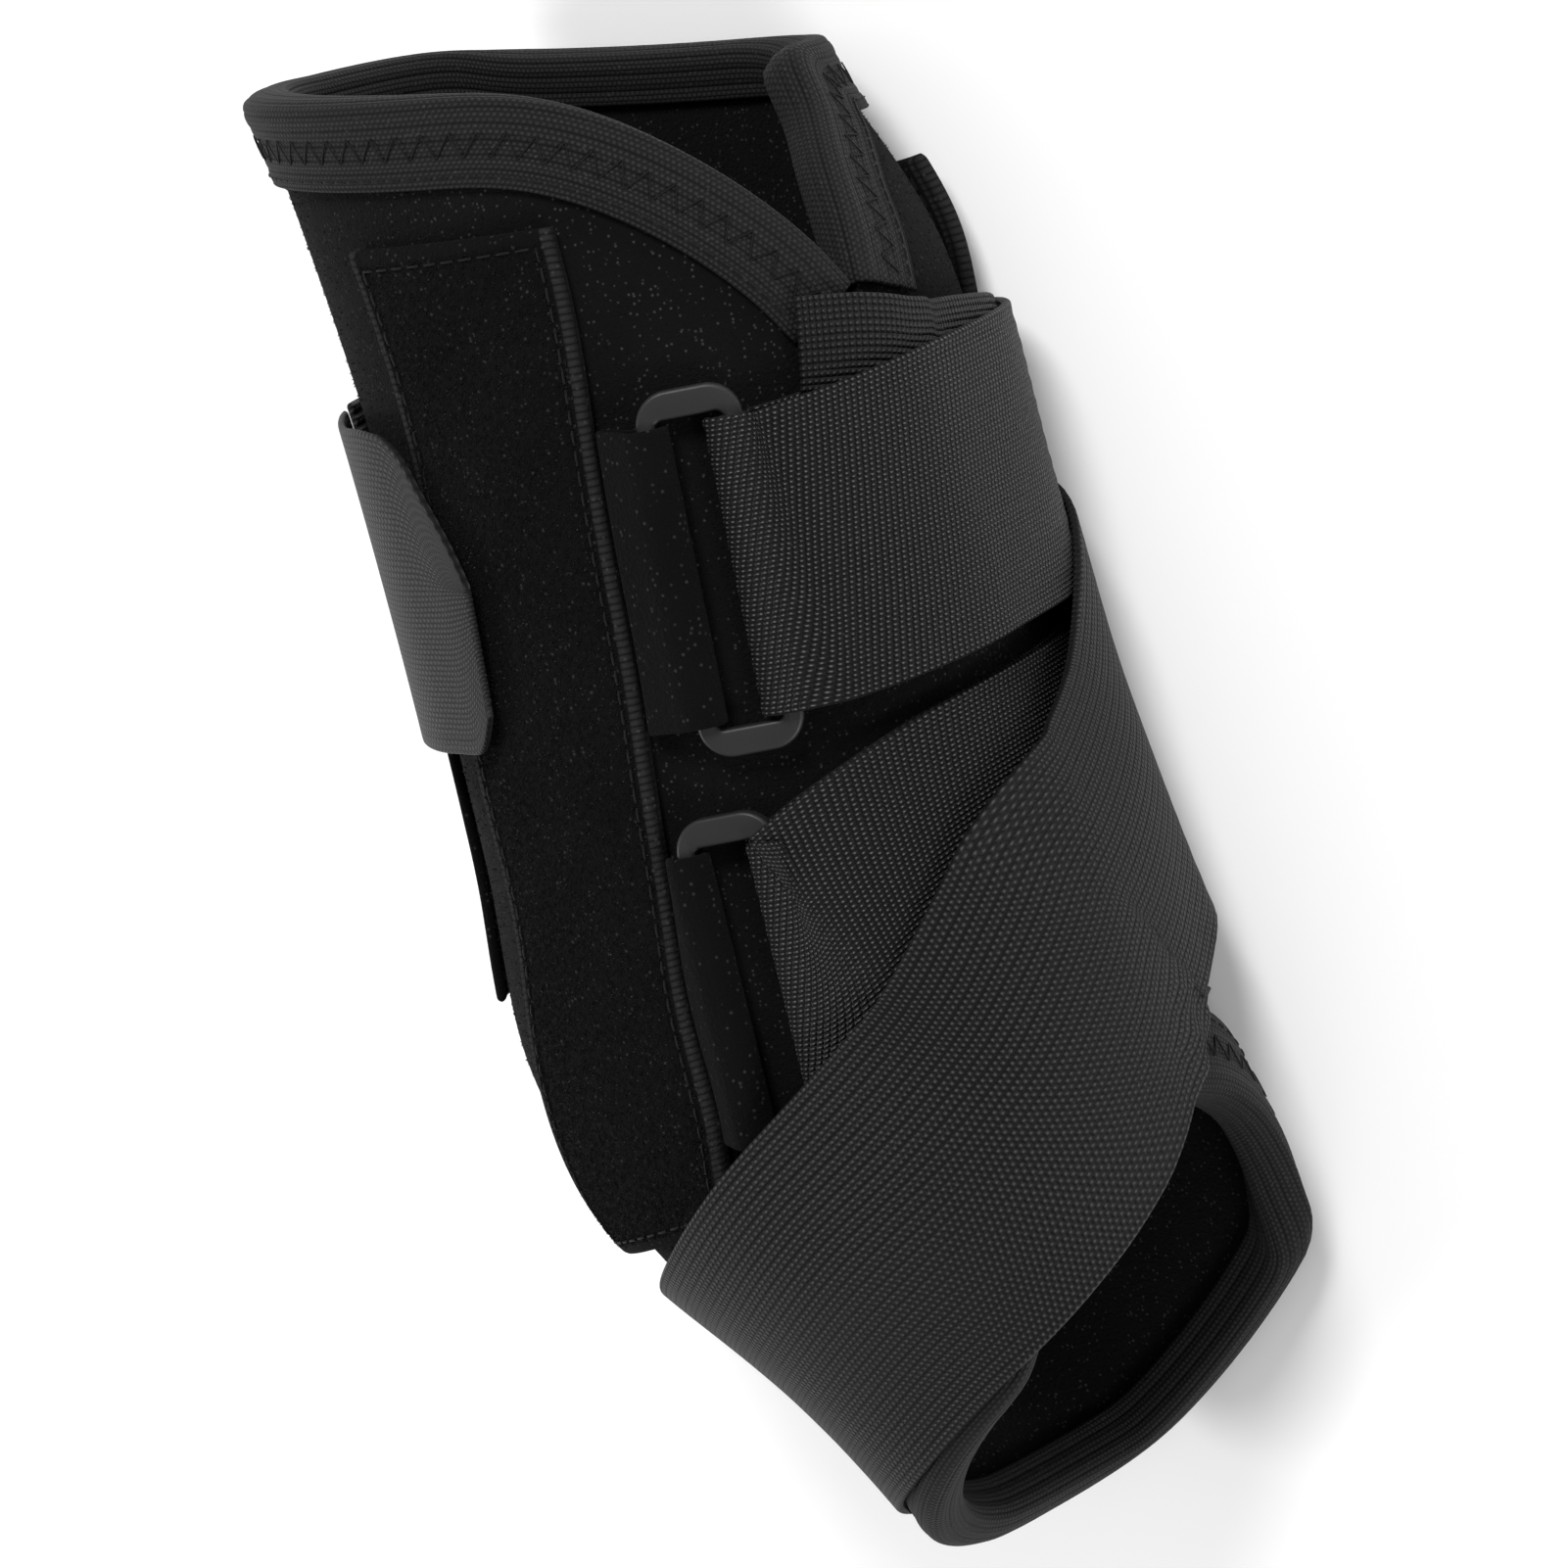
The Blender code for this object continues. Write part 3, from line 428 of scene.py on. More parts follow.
def placeGroup(tree, group, place, values):
    node = tree.nodes.new("ShaderNodeGroup")
    node.node_tree = group
    tree.links.new(place, node.inputs["Place"])
    for label, value in values.items():
        node.inputs[label].default_value = value
    return node


def blendColors(tree, factor, first, second):
    node = tree.nodes.new("ShaderNodeMix")
    node.data_type = "RGBA"
    tree.links.new(factor, node.inputs[0])
    for socket, value in ((node.inputs[6], first), (node.inputs[7], second)):
        if isinstance(value, tuple):
            socket.default_value = (*value, 1)
        else:
            tree.links.new(value, socket)
    return node.outputs[2]


def clothMaterial(name, look):
    # every cloth of the brace: threads, loose fibres and a woven edge, each as strong as its look says
    material = bpy.data.materials.new(name)
    material.use_nodes = True
    tree = material.node_tree
    shader = tree.nodes["Principled BSDF"]
    shader.inputs["Roughness"].default_value = look["roughness"]
    shader.inputs["Specular IOR Level"].default_value = look.get("specular", 0.3)
    shader.inputs["Sheen Weight"].default_value = look["sheen"]
    shader.inputs["Sheen Roughness"].default_value = look.get("sheenRoughness", 0.45)
    shader.inputs["Sheen Tint"].default_value = (*look.get("sheenTint", (0.6, 0.6, 0.62)), 1)
    coords = tree.nodes.new("ShaderNodeTexCoord")
    fibreNoise = placeGroup(tree, fibreGroup, coords.outputs["Object"], look["fibres"])
    color = blendColors(tree, fibreNoise.outputs["Patches"], look["dark"], look["light"])
    height = calc(tree, "MULTIPLY", fibreNoise.outputs["Height"], look["fibreHeight"])
    if "weave" in look:
        weave = placeGroup(tree, weaveGroup, coords.outputs["UV"], look["weave"])
        shade = calc(tree, "MULTIPLY", weave.outputs["Height"], 1.0)
        # painted shade: the low parts of the weave take a darker colour
        color = blendColors(tree, shade, look["paintedGrooveShade"], color)
        # painted highlight: the thread tops take the lighter dots colour
        color = blendColors(tree, calc(tree, "MULTIPLY", weave.outputs["PaintedTopHighlight"], look["paintedTopHighlightShare"]), color, look["dots"])
        height = calc(tree, "ADD", height, calc(tree, "MULTIPLY", weave.outputs["Height"], look["weaveHeight"]))
    if "ribs" in look:
        lines = placeGroup(tree, ribGroup, coords.outputs["UV"], look["ribs"])
        # painted shade: the hollows between the ribs take the darker colour
        color = blendColors(tree, lines.outputs["Height"], look["paintedGrooveShade"], color)
        height = calc(tree, "ADD", height, calc(tree, "MULTIPLY", lines.outputs["Height"], look["ribHeight"]))
    if "edge" in look:
        edge = placeGroup(tree, edgeGroup, coords.outputs["UV"], look["edge"])
        ribs = placeGroup(tree, weaveGroup, coords.outputs["UV"],
                          {"AlongPitch": 0.0011, "AcrossPitch": 0.0024, "Shift": 0.0, "Irregular": 0.1})
        # painted shade: the hollows between the woven edge's ribs take the darker colour
        edgeColor = blendColors(tree, ribs.outputs["Height"], look["paintedGrooveShade"], look["edgeColor"])
        color = blendColors(tree, edge.outputs["Mask"], color, edgeColor)
    # pale loose fibres and painted glints: scattered light spots laid over the colour
    color = blendColors(tree, calc(tree, "MULTIPLY", fibreNoise.outputs["LintAndPaintedGlints"], look["lintAndPaintedGlintShare"]), color, look["lintAndPaintedGlintColor"])
    tree.links.new(color, shader.inputs["Base Color"])
    bump = tree.nodes.new("ShaderNodeBump")
    bump.inputs["Strength"].default_value = look.get("bump", 0.8)
    bump.inputs["Distance"].default_value = look.get("bumpDistance", 0.0003)
    tree.links.new(height, bump.inputs["Height"])
    tree.links.new(bump.outputs["Normal"], shader.inputs["Normal"])
    return material


grey = lambda value, blue=1.03: (value, value, value * blue)
# in every look, the pale spot colour is loose fibres together with painted glints where fibres catch the light
fleeceLook = {"dark": grey(0.0024), "light": grey(0.0050), "roughness": 0.95, "sheen": 0.025, "specular": 0.06,
              "fibres": {"Scale": 1700.0, "SpeckSize": 0.36, "SpeckRarity": 0.68}, "fibreHeight": 1.0,
              "lintAndPaintedGlintColor": grey(0.080), "lintAndPaintedGlintShare": 0.55, "bump": 1.0, "bumpDistance": 0.0006}
pileLook = {"dark": grey(0.0018), "light": grey(0.0040), "roughness": 1.0, "sheen": 0.02, "specular": 0.06,
            "fibres": {"Scale": 1500.0, "SpeckSize": 0.40, "SpeckRarity": 0.80}, "fibreHeight": 1.0,
            "lintAndPaintedGlintColor": grey(0.06), "lintAndPaintedGlintShare": 0.5, "bump": 1.0, "bumpDistance": 0.0006}
# in every look, the darker hollow colour is a painted shade between threads and ribs
bindingLook = {"dark": grey(0.0065), "light": grey(0.0100), "paintedGrooveShade": grey(0.0012), "roughness": 0.72, "sheen": 0.03,
               "specular": 0.16, "fibres": {"Scale": 1400.0, "SpeckSize": 0.30, "SpeckRarity": 0.88},
               "fibreHeight": 0.3, "weave": {"AlongPitch": 0.0009, "AcrossPitch": 0.0007, "Shift": 0.5,
                                             "Irregular": 0.25},
               "weaveHeight": 0.7, "dots": grey(0.032), "paintedTopHighlightShare": 0.6, "lintAndPaintedGlintColor": grey(0.07), "lintAndPaintedGlintShare": 0.4,
               "ribs": {"Pitch": 0.0021, "Sharpness": 0.35}, "ribHeight": 0.6}
# in every look, dots is the colour of a painted highlight on the thread tops
webbingLook = {"dark": grey(0.0038), "light": grey(0.0078), "paintedGrooveShade": grey(0.0003), "roughness": 0.50, "sheen": 0.02,
               "fibres": {"Scale": 1600.0, "SpeckSize": 0.25, "SpeckRarity": 0.90}, "fibreHeight": 0.3,
               "weave": {"AlongPitch": 0.00105, "AcrossPitch": 0.00072, "Shift": 0.20, "Irregular": 0.30},
               "weaveHeight": 1.6, "dots": grey(0.105), "paintedTopHighlightShare": 1.0, "lintAndPaintedGlintColor": grey(0.12), "lintAndPaintedGlintShare": 0.45,
               "bump": 1.0, "bumpDistance": 0.0008, "specular": 0.18}
closureLook = {**webbingLook, "weave": {"AlongPitch": 0.0009, "AcrossPitch": 0.0010, "Shift": 0.0, "Irregular": 0.2},
               "dark": grey(0.0045), "light": grey(0.0075), "dots": grey(0.045),
               "ribs": {"Pitch": 0.0020, "Sharpness": 0.5}, "ribHeight": 0.6}
elasticLook = {"dark": grey(0.0055), "light": grey(0.0085), "paintedGrooveShade": grey(0.0008), "roughness": 0.58, "sheen": 0.02,
               "specular": 0.16, "fibres": {"Scale": 1500.0, "SpeckSize": 0.25, "SpeckRarity": 0.93},
               "fibreHeight": 0.25, "weave": {"AlongPitch": 0.0011, "AcrossPitch": 0.0010, "Shift": 0.5,
                                              "Irregular": 0.15},
               "weaveHeight": 0.7, "dots": grey(0.060), "paintedTopHighlightShare": 0.9, "lintAndPaintedGlintColor": grey(0.08), "lintAndPaintedGlintShare": 0.3,
               "ribs": {"Pitch": 0.0020, "Sharpness": 0.45}, "ribHeight": 1.0, "bump": 1.0, "bumpDistance": 0.0005}
hookLook = {"dark": grey(0.0115), "light": grey(0.0160), "paintedGrooveShade": grey(0.003), "roughness": 0.55, "sheen": 0.02,
            "specular": 0.18, "fibres": {"Scale": 1500.0, "SpeckSize": 0.2, "SpeckRarity": 0.95}, "fibreHeight": 0.2,
            "weave": {"AlongPitch": 0.0012, "AcrossPitch": 0.0008, "Shift": 0.5, "Irregular": 0.05},
            "weaveHeight": 0.8, "dots": grey(0.050), "paintedTopHighlightShare": 0.7, "lintAndPaintedGlintColor": grey(0.1), "lintAndPaintedGlintShare": 0.1,
            "edge": {"Width": wrapWidth, "Band": 0.0035}, "edgeColor": grey(0.021)}
threadLook = {"dark": grey(0.0022), "light": grey(0.0045), "roughness": 0.6, "sheen": 0.02, "specular": 0.12,
              "fibres": {"Scale": 3500.0, "SpeckSize": 0.2, "SpeckRarity": 0.95}, "fibreHeight": 0.6,
              "lintAndPaintedGlintColor": grey(0.04), "lintAndPaintedGlintShare": 0.2, "bump": 0.5, "bumpDistance": 0.0001}
tuftLook = {"dark": grey(0.0022), "light": grey(0.0062), "roughness": 0.95, "sheen": 0.02, "specular": 0.06,
            "fibres": {"Scale": 2600.0, "SpeckSize": 0.45, "SpeckRarity": 0.75}, "fibreHeight": 0.4,
            "lintAndPaintedGlintColor": grey(0.08), "lintAndPaintedGlintShare": 0.6, "bump": 0.3, "bumpDistance": 0.0001}

fleece = clothMaterial("fleece", fleeceLook)
pile = clothMaterial("loopPile", pileLook)
binding = clothMaterial("ribbedTape", bindingLook)
webbing = clothMaterial("twillWebbing", webbingLook)
closureWeb = clothMaterial("ribbedWebbing", closureLook)
elastic = clothMaterial("ribbedElastic", elasticLook)
hookCloth = clothMaterial("hookTape", hookLook)
thread = clothMaterial("sewingThread", threadLook)
tufts = clothMaterial("pileTufts", tuftLook)


def plasticMaterial():
    # moulded satin plastic with a fine grain, its colour paler along the sharp convex edges
    material = bpy.data.materials.new("ringPlastic")
    material.use_nodes = True
    tree = material.node_tree
    shader = tree.nodes["Principled BSDF"]
    shader.inputs["Specular IOR Level"].default_value = 0.28
    coords = tree.nodes.new("ShaderNodeTexCoord")
    grain = placeGroup(tree, fibreGroup, coords.outputs["Object"],
                       {"Scale": 2200.0, "SpeckSize": 0.2, "SpeckRarity": 0.9})
    geometry = tree.nodes.new("ShaderNodeNewGeometry")
    # paler colour along the sharp convex edges, found by pointiness
    paleEdges = calc(tree, "MULTIPLY", calc(tree, "SUBTRACT", geometry.outputs["Pointiness"], 0.5), 6.0, clamp=True)
    base = blendColors(tree, grain.outputs["Patches"], grey(0.007), grey(0.012))
    tree.links.new(blendColors(tree, paleEdges, base, grey(0.030)), shader.inputs["Base Color"])
    rough = calc(tree, "ADD", 0.38, calc(tree, "MULTIPLY", grain.outputs["Patches"], 0.16))
    tree.links.new(rough, shader.inputs["Roughness"])
    bump = tree.nodes.new("ShaderNodeBump")
    bump.inputs["Strength"].default_value = 0.25
    bump.inputs["Distance"].default_value = 0.0001
    tree.links.new(grain.outputs["Height"], bump.inputs["Height"])
    tree.links.new(bump.outputs["Normal"], shader.inputs["Normal"])
    return material


ringPlastic = plasticMaterial()
print("materials made")


# ---- what repeats: stitches and pile tufts ----

def geometryTree(name, inputs):
    tree = bpy.data.node_groups.new(name, "GeometryNodeTree")
    tree.interface.new_socket("Geometry", in_out="INPUT", socket_type="NodeSocketGeometry")
    for label, kind, value in inputs:
        socket = tree.interface.new_socket(label, in_out="INPUT", socket_type=kind)
        if value is not None:
            socket.default_value = value
    tree.interface.new_socket("Geometry", in_out="OUTPUT", socket_type="NodeSocketGeometry")
    return tree, tree.nodes.new("NodeGroupInput"), tree.nodes.new("NodeGroupOutput")


def namedArrow(tree, name):
    node = tree.nodes.new("GeometryNodeInputNamedAttribute")
    node.data_type = "FLOAT_VECTOR"
    node.inputs["Name"].default_value = name
    return node.outputs["Attribute"]


def finishTree(tree, instances, start, end):
    real = tree.nodes.new("GeometryNodeRealizeInstances")
    tree.links.new(instances, real.inputs[0])
    painted = tree.nodes.new("GeometryNodeSetMaterial")
    tree.links.new(real.outputs[0], painted.inputs["Geometry"])
    tree.links.new(start.outputs["Material"], painted.inputs["Material"])
    tree.links.new(painted.outputs[0], end.inputs[0])


def buildStitchTree():
    # one short arched thread on every point, laid along its arrow
    tree, start, end = geometryTree("stitchRow", [
        ("Stitch Length", "NodeSocketFloat", 0.002), ("Thread Radius", "NodeSocketFloat", 0.0002),
        ("Arch", "NodeSocketFloat", 0.0002), ("Material", "NodeSocketMaterial", None)])
    half = tree.nodes.new("ShaderNodeMath")
    half.operation = "MULTIPLY"
    half.inputs[1].default_value = 0.5
    tree.links.new(start.outputs["Stitch Length"], half.inputs[0])
    less = tree.nodes.new("ShaderNodeMath")
    less.operation = "MULTIPLY"
    less.inputs[1].default_value = -1.0
    tree.links.new(half.outputs[0], less.inputs[0])
    ends = []
    for socket in (less.outputs[0], half.outputs[0]):
        point = tree.nodes.new("ShaderNodeCombineXYZ")
        tree.links.new(socket, point.inputs[0])
        ends.append(point.outputs[0])
    top = tree.nodes.new("ShaderNodeCombineXYZ")
    tree.links.new(start.outputs["Arch"], top.inputs[2])
    curve = tree.nodes.new("GeometryNodeCurveQuadraticBezier")
    curve.inputs["Resolution"].default_value = 4
    for label, socket in (("Start", ends[0]), ("Middle", top.outputs[0]), ("End", ends[1])):
        tree.links.new(socket, curve.inputs[label])
    profile = tree.nodes.new("GeometryNodeCurvePrimitiveCircle")
    profile.inputs["Resolution"].default_value = 6
    tree.links.new(start.outputs["Thread Radius"], profile.inputs["Radius"])
    tube = tree.nodes.new("GeometryNodeCurveToMesh")
    tube.inputs["Fill Caps"].default_value = True
    tree.links.new(curve.outputs[0], tube.inputs["Curve"])
    tree.links.new(profile.outputs[0], tube.inputs["Profile Curve"])
    lie = tree.nodes.new("FunctionNodeAxesToRotation")
    lie.primary_axis = "Z"
    lie.secondary_axis = "X"
    tree.links.new(namedArrow(tree, "outArrow"), lie.inputs["Primary Axis"])
    tree.links.new(namedArrow(tree, "alongArrow"), lie.inputs["Secondary Axis"])
    spot = tree.nodes.new("GeometryNodeInstanceOnPoints")
    tree.links.new(start.outputs["Geometry"], spot.inputs["Points"])
    tree.links.new(tube.outputs[0], spot.inputs["Instance"])
    tree.links.new(lie.outputs[0], spot.inputs["Rotation"])
    finishTree(tree, spot.outputs[0], start, end)
    return tree


def buildTuftTree():
    # small leaning tufts scattered over a face
    tree, start, end = geometryTree("pileField", [
        ("Density", "NodeSocketFloat", 1000000.0), ("Height", "NodeSocketFloat", 0.0005),
        ("Radius", "NodeSocketFloat", 0.00012), ("Lean", "NodeSocketFloat", 0.9),
        ("Seed", "NodeSocketInt", 3), ("Material", "NodeSocketMaterial", None)])
    scatter = tree.nodes.new("GeometryNodeDistributePointsOnFaces")
    scatter.distribute_method = "RANDOM"
    tree.links.new(start.outputs["Geometry"], scatter.inputs["Mesh"])
    tree.links.new(start.outputs["Density"], scatter.inputs["Density"])
    tree.links.new(start.outputs["Seed"], scatter.inputs["Seed"])
    cone = tree.nodes.new("GeometryNodeMeshCone")
    cone.fill_type = "NGON"
    cone.inputs["Vertices"].default_value = 3
    cone.inputs["Radius Top"].default_value = 0.0
    tree.links.new(start.outputs["Radius"], cone.inputs["Radius Bottom"])
    tree.links.new(start.outputs["Height"], cone.inputs["Depth"])
    tilt = tree.nodes.new("FunctionNodeRandomValue")
    tilt.data_type = "FLOAT_VECTOR"
    tree.links.new(start.outputs["Seed"], tilt.inputs["Seed"])
    for socket, sign in ((tilt.inputs[0], -1.0), (tilt.inputs[1], 1.0)):
        lean = tree.nodes.new("ShaderNodeVectorMath")
        lean.operation = "SCALE"
        lean.inputs[0].default_value = (sign, sign, 3.0 * sign)
        tree.links.new(start.outputs["Lean"], lean.inputs["Scale"])
        tree.links.new(lean.outputs[0], socket)
    turned = tree.nodes.new("FunctionNodeRotateRotation")
    turned.rotation_space = "LOCAL"
    tree.links.new(scatter.outputs["Rotation"], turned.inputs["Rotation"])
    tree.links.new(tilt.outputs[0], turned.inputs["Rotate By"])
    size = tree.nodes.new("FunctionNodeRandomValue")
    size.data_type = "FLOAT"
    size.inputs[2].default_value = 0.6
    size.inputs[3].default_value = 1.3
    spot = tree.nodes.new("GeometryNodeInstanceOnPoints")
    tree.links.new(scatter.outputs["Points"], spot.inputs["Points"])
    tree.links.new(cone.outputs["Mesh"], spot.inputs["Instance"])
    tree.links.new(turned.outputs[0], spot.inputs["Rotation"])
    tree.links.new(size.outputs[1], spot.inputs["Scale"])
    finishTree(tree, spot.outputs[0], start, end)
    return tree


stitchTree = buildStitchTree()
tuftTree = buildTuftTree()


def growFrom(source, name, tree, values):
    # run a tree on a mesh and keep what it makes as a plain mesh
    modifier = source.modifiers.new("grow", "NODES")
    modifier.node_group = tree
    for item in tree.interface.items_tree:
        if item.item_type == "SOCKET" and item.in_out == "INPUT" and item.name in values:
            modifier[item.identifier] = values[item.name]
    graph = bpy.context.evaluated_depsgraph_get()
    made = bpy.data.meshes.new_from_object(source.evaluated_get(graph))
    source.modifiers.remove(modifier)
    made.name = name
    grown = bpy.data.objects.new(name, made)
    bpy.context.scene.collection.objects.link(grown)
    bpy.data.objects.remove(source)
    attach(grown, "root")
    print("grown", name, "faces", len(made.polygons))
    return grown


def sewRow(name, face, places, length, radius=0.00022, arch=0.00035, inner=False):
    # stitches between pairs of places (u, v) on a cloth's face
    places = np.asarray(places, float)
    first, out = onCloth(face, places[:, 0, 0], places[:, 0, 1], inner)
    last, out2 = onCloth(face, places[:, 1, 0], places[:, 1, 1], inner)
    middle, out = (first + last) / 2, unit(out + out2)
    points = middle + out * 0.00008
    mesh = bpy.data.meshes.new(name + "Points")
    mesh.from_pydata(points.tolist(), [], [])
    for label, arrows in (("outArrow", out), ("alongArrow", unit(last - first))):
        attribute = mesh.attributes.new(label, "FLOAT_VECTOR", "POINT")
        attribute.data.foreach_set("vector", arrows.astype(np.float32).ravel())
    source = bpy.data.objects.new(name + "Points", mesh)
    bpy.context.scene.collection.objects.link(source)
    row = growFrom(source, name, stitchTree, {
        "Stitch Length": length, "Thread Radius": radius, "Arch": arch, "Material": thread})
    return row


def straightRow(u0, u1, v, pitch, share=0.7, crosswise=False):
    # places of a straight row of stitches, along a cloth or across it
    starts = np.arange(min(u0, u1), max(u0, u1) - pitch * share, pitch)
    pairs = np.stack([np.stack([starts, np.full(len(starts), v)], 1),
                      np.stack([starts + pitch * share, np.full(len(starts), v)], 1)], axis=1)
    return pairs[..., ::-1] if crosswise else pairs


def zigzagRow(u0, u1, low, high, pitch):
    at = np.arange(u0, u1 - pitch, pitch)
    flip = np.arange(len(at)) % 2
    first = np.stack([at, np.where(flip, low, high)], 1)
    last = np.stack([at + pitch, np.where(flip, high, low)], 1)
    return np.stack([first, last], axis=1)


def growPile(name, face, density, height, margin=0.0008, seed=3, inner=False, radius=0.00013):
    # tufts over a cloth's face, kept off its very edge
    u = np.linspace(margin, face["length"] - margin, max(int(face["length"] / 0.002), 3))
    v = np.linspace(margin, face["width"] - margin, max(int(face["width"] / 0.002), 3))
    uu, vv = np.meshgrid(u, v, indexing="ij")
    points, out = onCloth(face, uu.ravel(), vv.ravel(), inner)
    index = np.arange(uu.size).reshape(uu.shape)
    faces = np.stack([index[:-1, :-1], index[1:, :-1], index[1:, 1:], index[:-1, 1:]], axis=-1).reshape(-1, 4)
    probe = points[faces[0]]
    if np.dot(np.cross(probe[1] - probe[0], probe[3] - probe[0]), out[faces[0][0]]) < 0:
        faces = faces[:, ::-1]
    source = meshObject(name + "Field", points, faces, tufts)
    field = growFrom(source, name, tuftTree, {
        "Density": density, "Height": height, "Radius": radius, "Lean": 0.8, "Seed": seed, "Material": tufts})
    return field


def claim(piece, node):
    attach(piece, "root")
    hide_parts(node)
    return piece


# ---- camera first, at the photograph's angle ----

viewSizes = {"target": (-0.002, -0.1185, 0.036), "distance": 1.0, "turn": 35.0, "rise": 8.5, "roll": 14.5,
             "focal": 6780.0, "frame": 1601.0}
turnShare, riseShare = math.radians(viewSizes["turn"]), math.radians(viewSizes["rise"])
toCamera = Vector((math.sin(turnShare) * math.cos(riseShare), math.sin(riseShare),
                   math.cos(turnShare) * math.cos(riseShare)))
upLeg = Vector((0, 1, 0)) - toCamera * toCamera.y
upLeg.normalize()
beside = upLeg.cross(toCamera)
roll = math.radians(viewSizes["roll"])
cameraUp = math.cos(roll) * upLeg + math.sin(roll) * beside
cameraRight = math.cos(roll) * beside - math.sin(roll) * upLeg
cameraData = bpy.data.cameras.new("photoView")
cameraData.sensor_width = 36.0
cameraData.lens = 36.0 * viewSizes["focal"] / viewSizes["frame"]
cameraData.clip_start = 0.05
camera = bpy.data.objects.new("photoView", cameraData)
cameraPlace = Vector(viewSizes["target"]) + Vector(seat.tolist()) + toCamera * viewSizes["distance"]
camera.matrix_world = Matrix.Translation(cameraPlace) @ Matrix(
    (cameraRight, cameraUp, toCamera)).transposed().to_4x4()
bpy.context.scene.collection.objects.link(camera)
bpy.context.scene.camera = camera
print("camera placed")


# ---- sleeve ----

def notchStation():
    return sleeveSizes["notchDepth"] / sleeveSizes["length"]


def wingTurnAt(station):
    share = np.clip(1 - station / notchStation(), 0, 1)
    return sleeveSizes["notchTurn"] + (sleeveSizes["wingTurn"] - sleeveSizes["notchTurn"]) * share


def columnTop(share):
    s = sleeveSizes
    lowTurn = s["notchTurn"] - 360 * share
    round_ = (s["nearWingTurn"] - (lowTurn + 360)) / (s["nearWingTurn"] - s["notchTurn"])
    top = notchStation() * np.clip(round_, 0, 1) ** s["nearWingCurve"]
    lean = 1 - top / notchStation()
    topTurn = s["wingTurn"] + (s["notchTurn"] - 360 - s["wingTurn"]) * share
    return lowTurn + (topTurn - lowTurn) * lean, top, lowTurn


def footRimStation(turn):
    s = sleeveSizes
    away = (turn - s["scoopTurn"] + 180) % 360 - 180
    share = away / np.where(away < 0, s["scoopFarHalf"], s["scoopNearHalf"])
    return 1 - s["scoopDepth"] * np.clip(1 - share ** 2, 0, 1) ** 2


def buildSleeve():
    s = sleeveSizes
    lean = np.linspace(1, 0, s["notchRows"] + 1)
    turns, stations = [], []
    for share in np.linspace(0, 1, s["columns"] + 1):
        topTurn, top, lowTurn = columnTop(share)
        notch = notchStation() + (top - notchStation()) * lean
        body = np.linspace(notchStation(), footRimStation(lowTurn), s["bodyRows"] + 1)[1:]
        turns.append(np.concatenate([lowTurn + (topTurn - lowTurn) * lean, np.full(len(body), lowTurn)]))
        stations.append(np.concatenate([notch, body]))
    turns, stations = np.array(turns), np.array(stations)
    outer = laid(turns, stations, np.zeros(turns.shape)) + seat
    inner = laid(turns, stations, np.full(turns.shape, -s["wall"])) + seat
    columns, rows = turns.shape
    index = np.arange(columns * rows).reshape(columns, rows)
    index[-1, s["notchRows"]:] = index[0, s["notchRows"]:]
    quads = np.stack([index[:-1, :-1], index[:-1, 1:], index[1:, 1:], index[1:, :-1]], axis=-1).reshape(-1, 4)
    probe = outer.reshape(-1, 3)[quads[5000]]
    centre = outer.reshape(-1, 3).mean(axis=0)
    if np.dot(np.cross(probe[1] - probe[0], probe[3] - probe[0]), probe[0] - centre) < 0:
        quads = quads[:, ::-1]
    # rims: every outer edge used once is joined to its inner twin
    edges = np.stack([quads, np.roll(quads, -1, axis=1)], axis=-1).reshape(-1, 2)
    key = np.sort(edges, axis=1)
    _, first, uses = np.unique(key, axis=0, return_index=True, return_counts=True)
    rim = edges[first[uses == 1]]
    total = columns * rows
    walls = np.stack([rim[:, 1], rim[:, 0], rim[:, 0] + total, rim[:, 1] + total], axis=1)
    faces = np.vstack([quads, quads[:, ::-1] + total, walls])
    verts = np.concatenate([outer.reshape(-1, 3), inner.reshape(-1, 3)])
    used = np.unique(faces)
    remap = np.full(len(verts), -1)
    remap[used] = np.arange(len(used))
    sleeve = meshObject("sleeveBody", verts[used], remap[faces], fleece)
    # the oval heel hole
    middle = onSleeve(180.0, s["heelStation"]) + seat
    slope = slopesOnSleeve(180.0, s["heelStation"])[1]
    bar = bmesh.new()
    bmesh.ops.create_cone(bar, cap_ends=True, segments=72, radius1=1, radius2=1, depth=2)
    bmesh.ops.scale(bar, vec=(s["heelHoleLength"] / 2, s["heelHoleReach"], s["legDepth"]), verts=bar.verts)
    bmesh.ops.rotate(bar, matrix=Matrix.Rotation(math.atan2(slope[1], slope[0]), 3, "Z"), verts=bar.verts)
    bmesh.ops.translate(bar, vec=middle, verts=bar.verts)
    mesh = bpy.data.meshes.new("heelBar")
    bar.to_mesh(mesh)
    bar.free()
    cutter = bpy.data.objects.new("heelBar", mesh)
    bpy.context.scene.collection.objects.link(cutter)
    cut = sleeve.modifiers.new("heel", "BOOLEAN")
    cut.operation = "DIFFERENCE"
    cut.object = cutter
    graph = bpy.context.evaluated_depsgraph_get()
    made = bpy.data.meshes.new_from_object(sleeve.evaluated_get(graph))
    sleeve.modifiers.remove(cut)
    sleeve.data = made
    bpy.data.objects.remove(cutter)
    made.materials.clear()
    made.materials.append(fleece)
    made.set_sharp_from_angle(angle=math.radians(50))
    print("sleeve faces", len(made.polygons))
    return sleeve


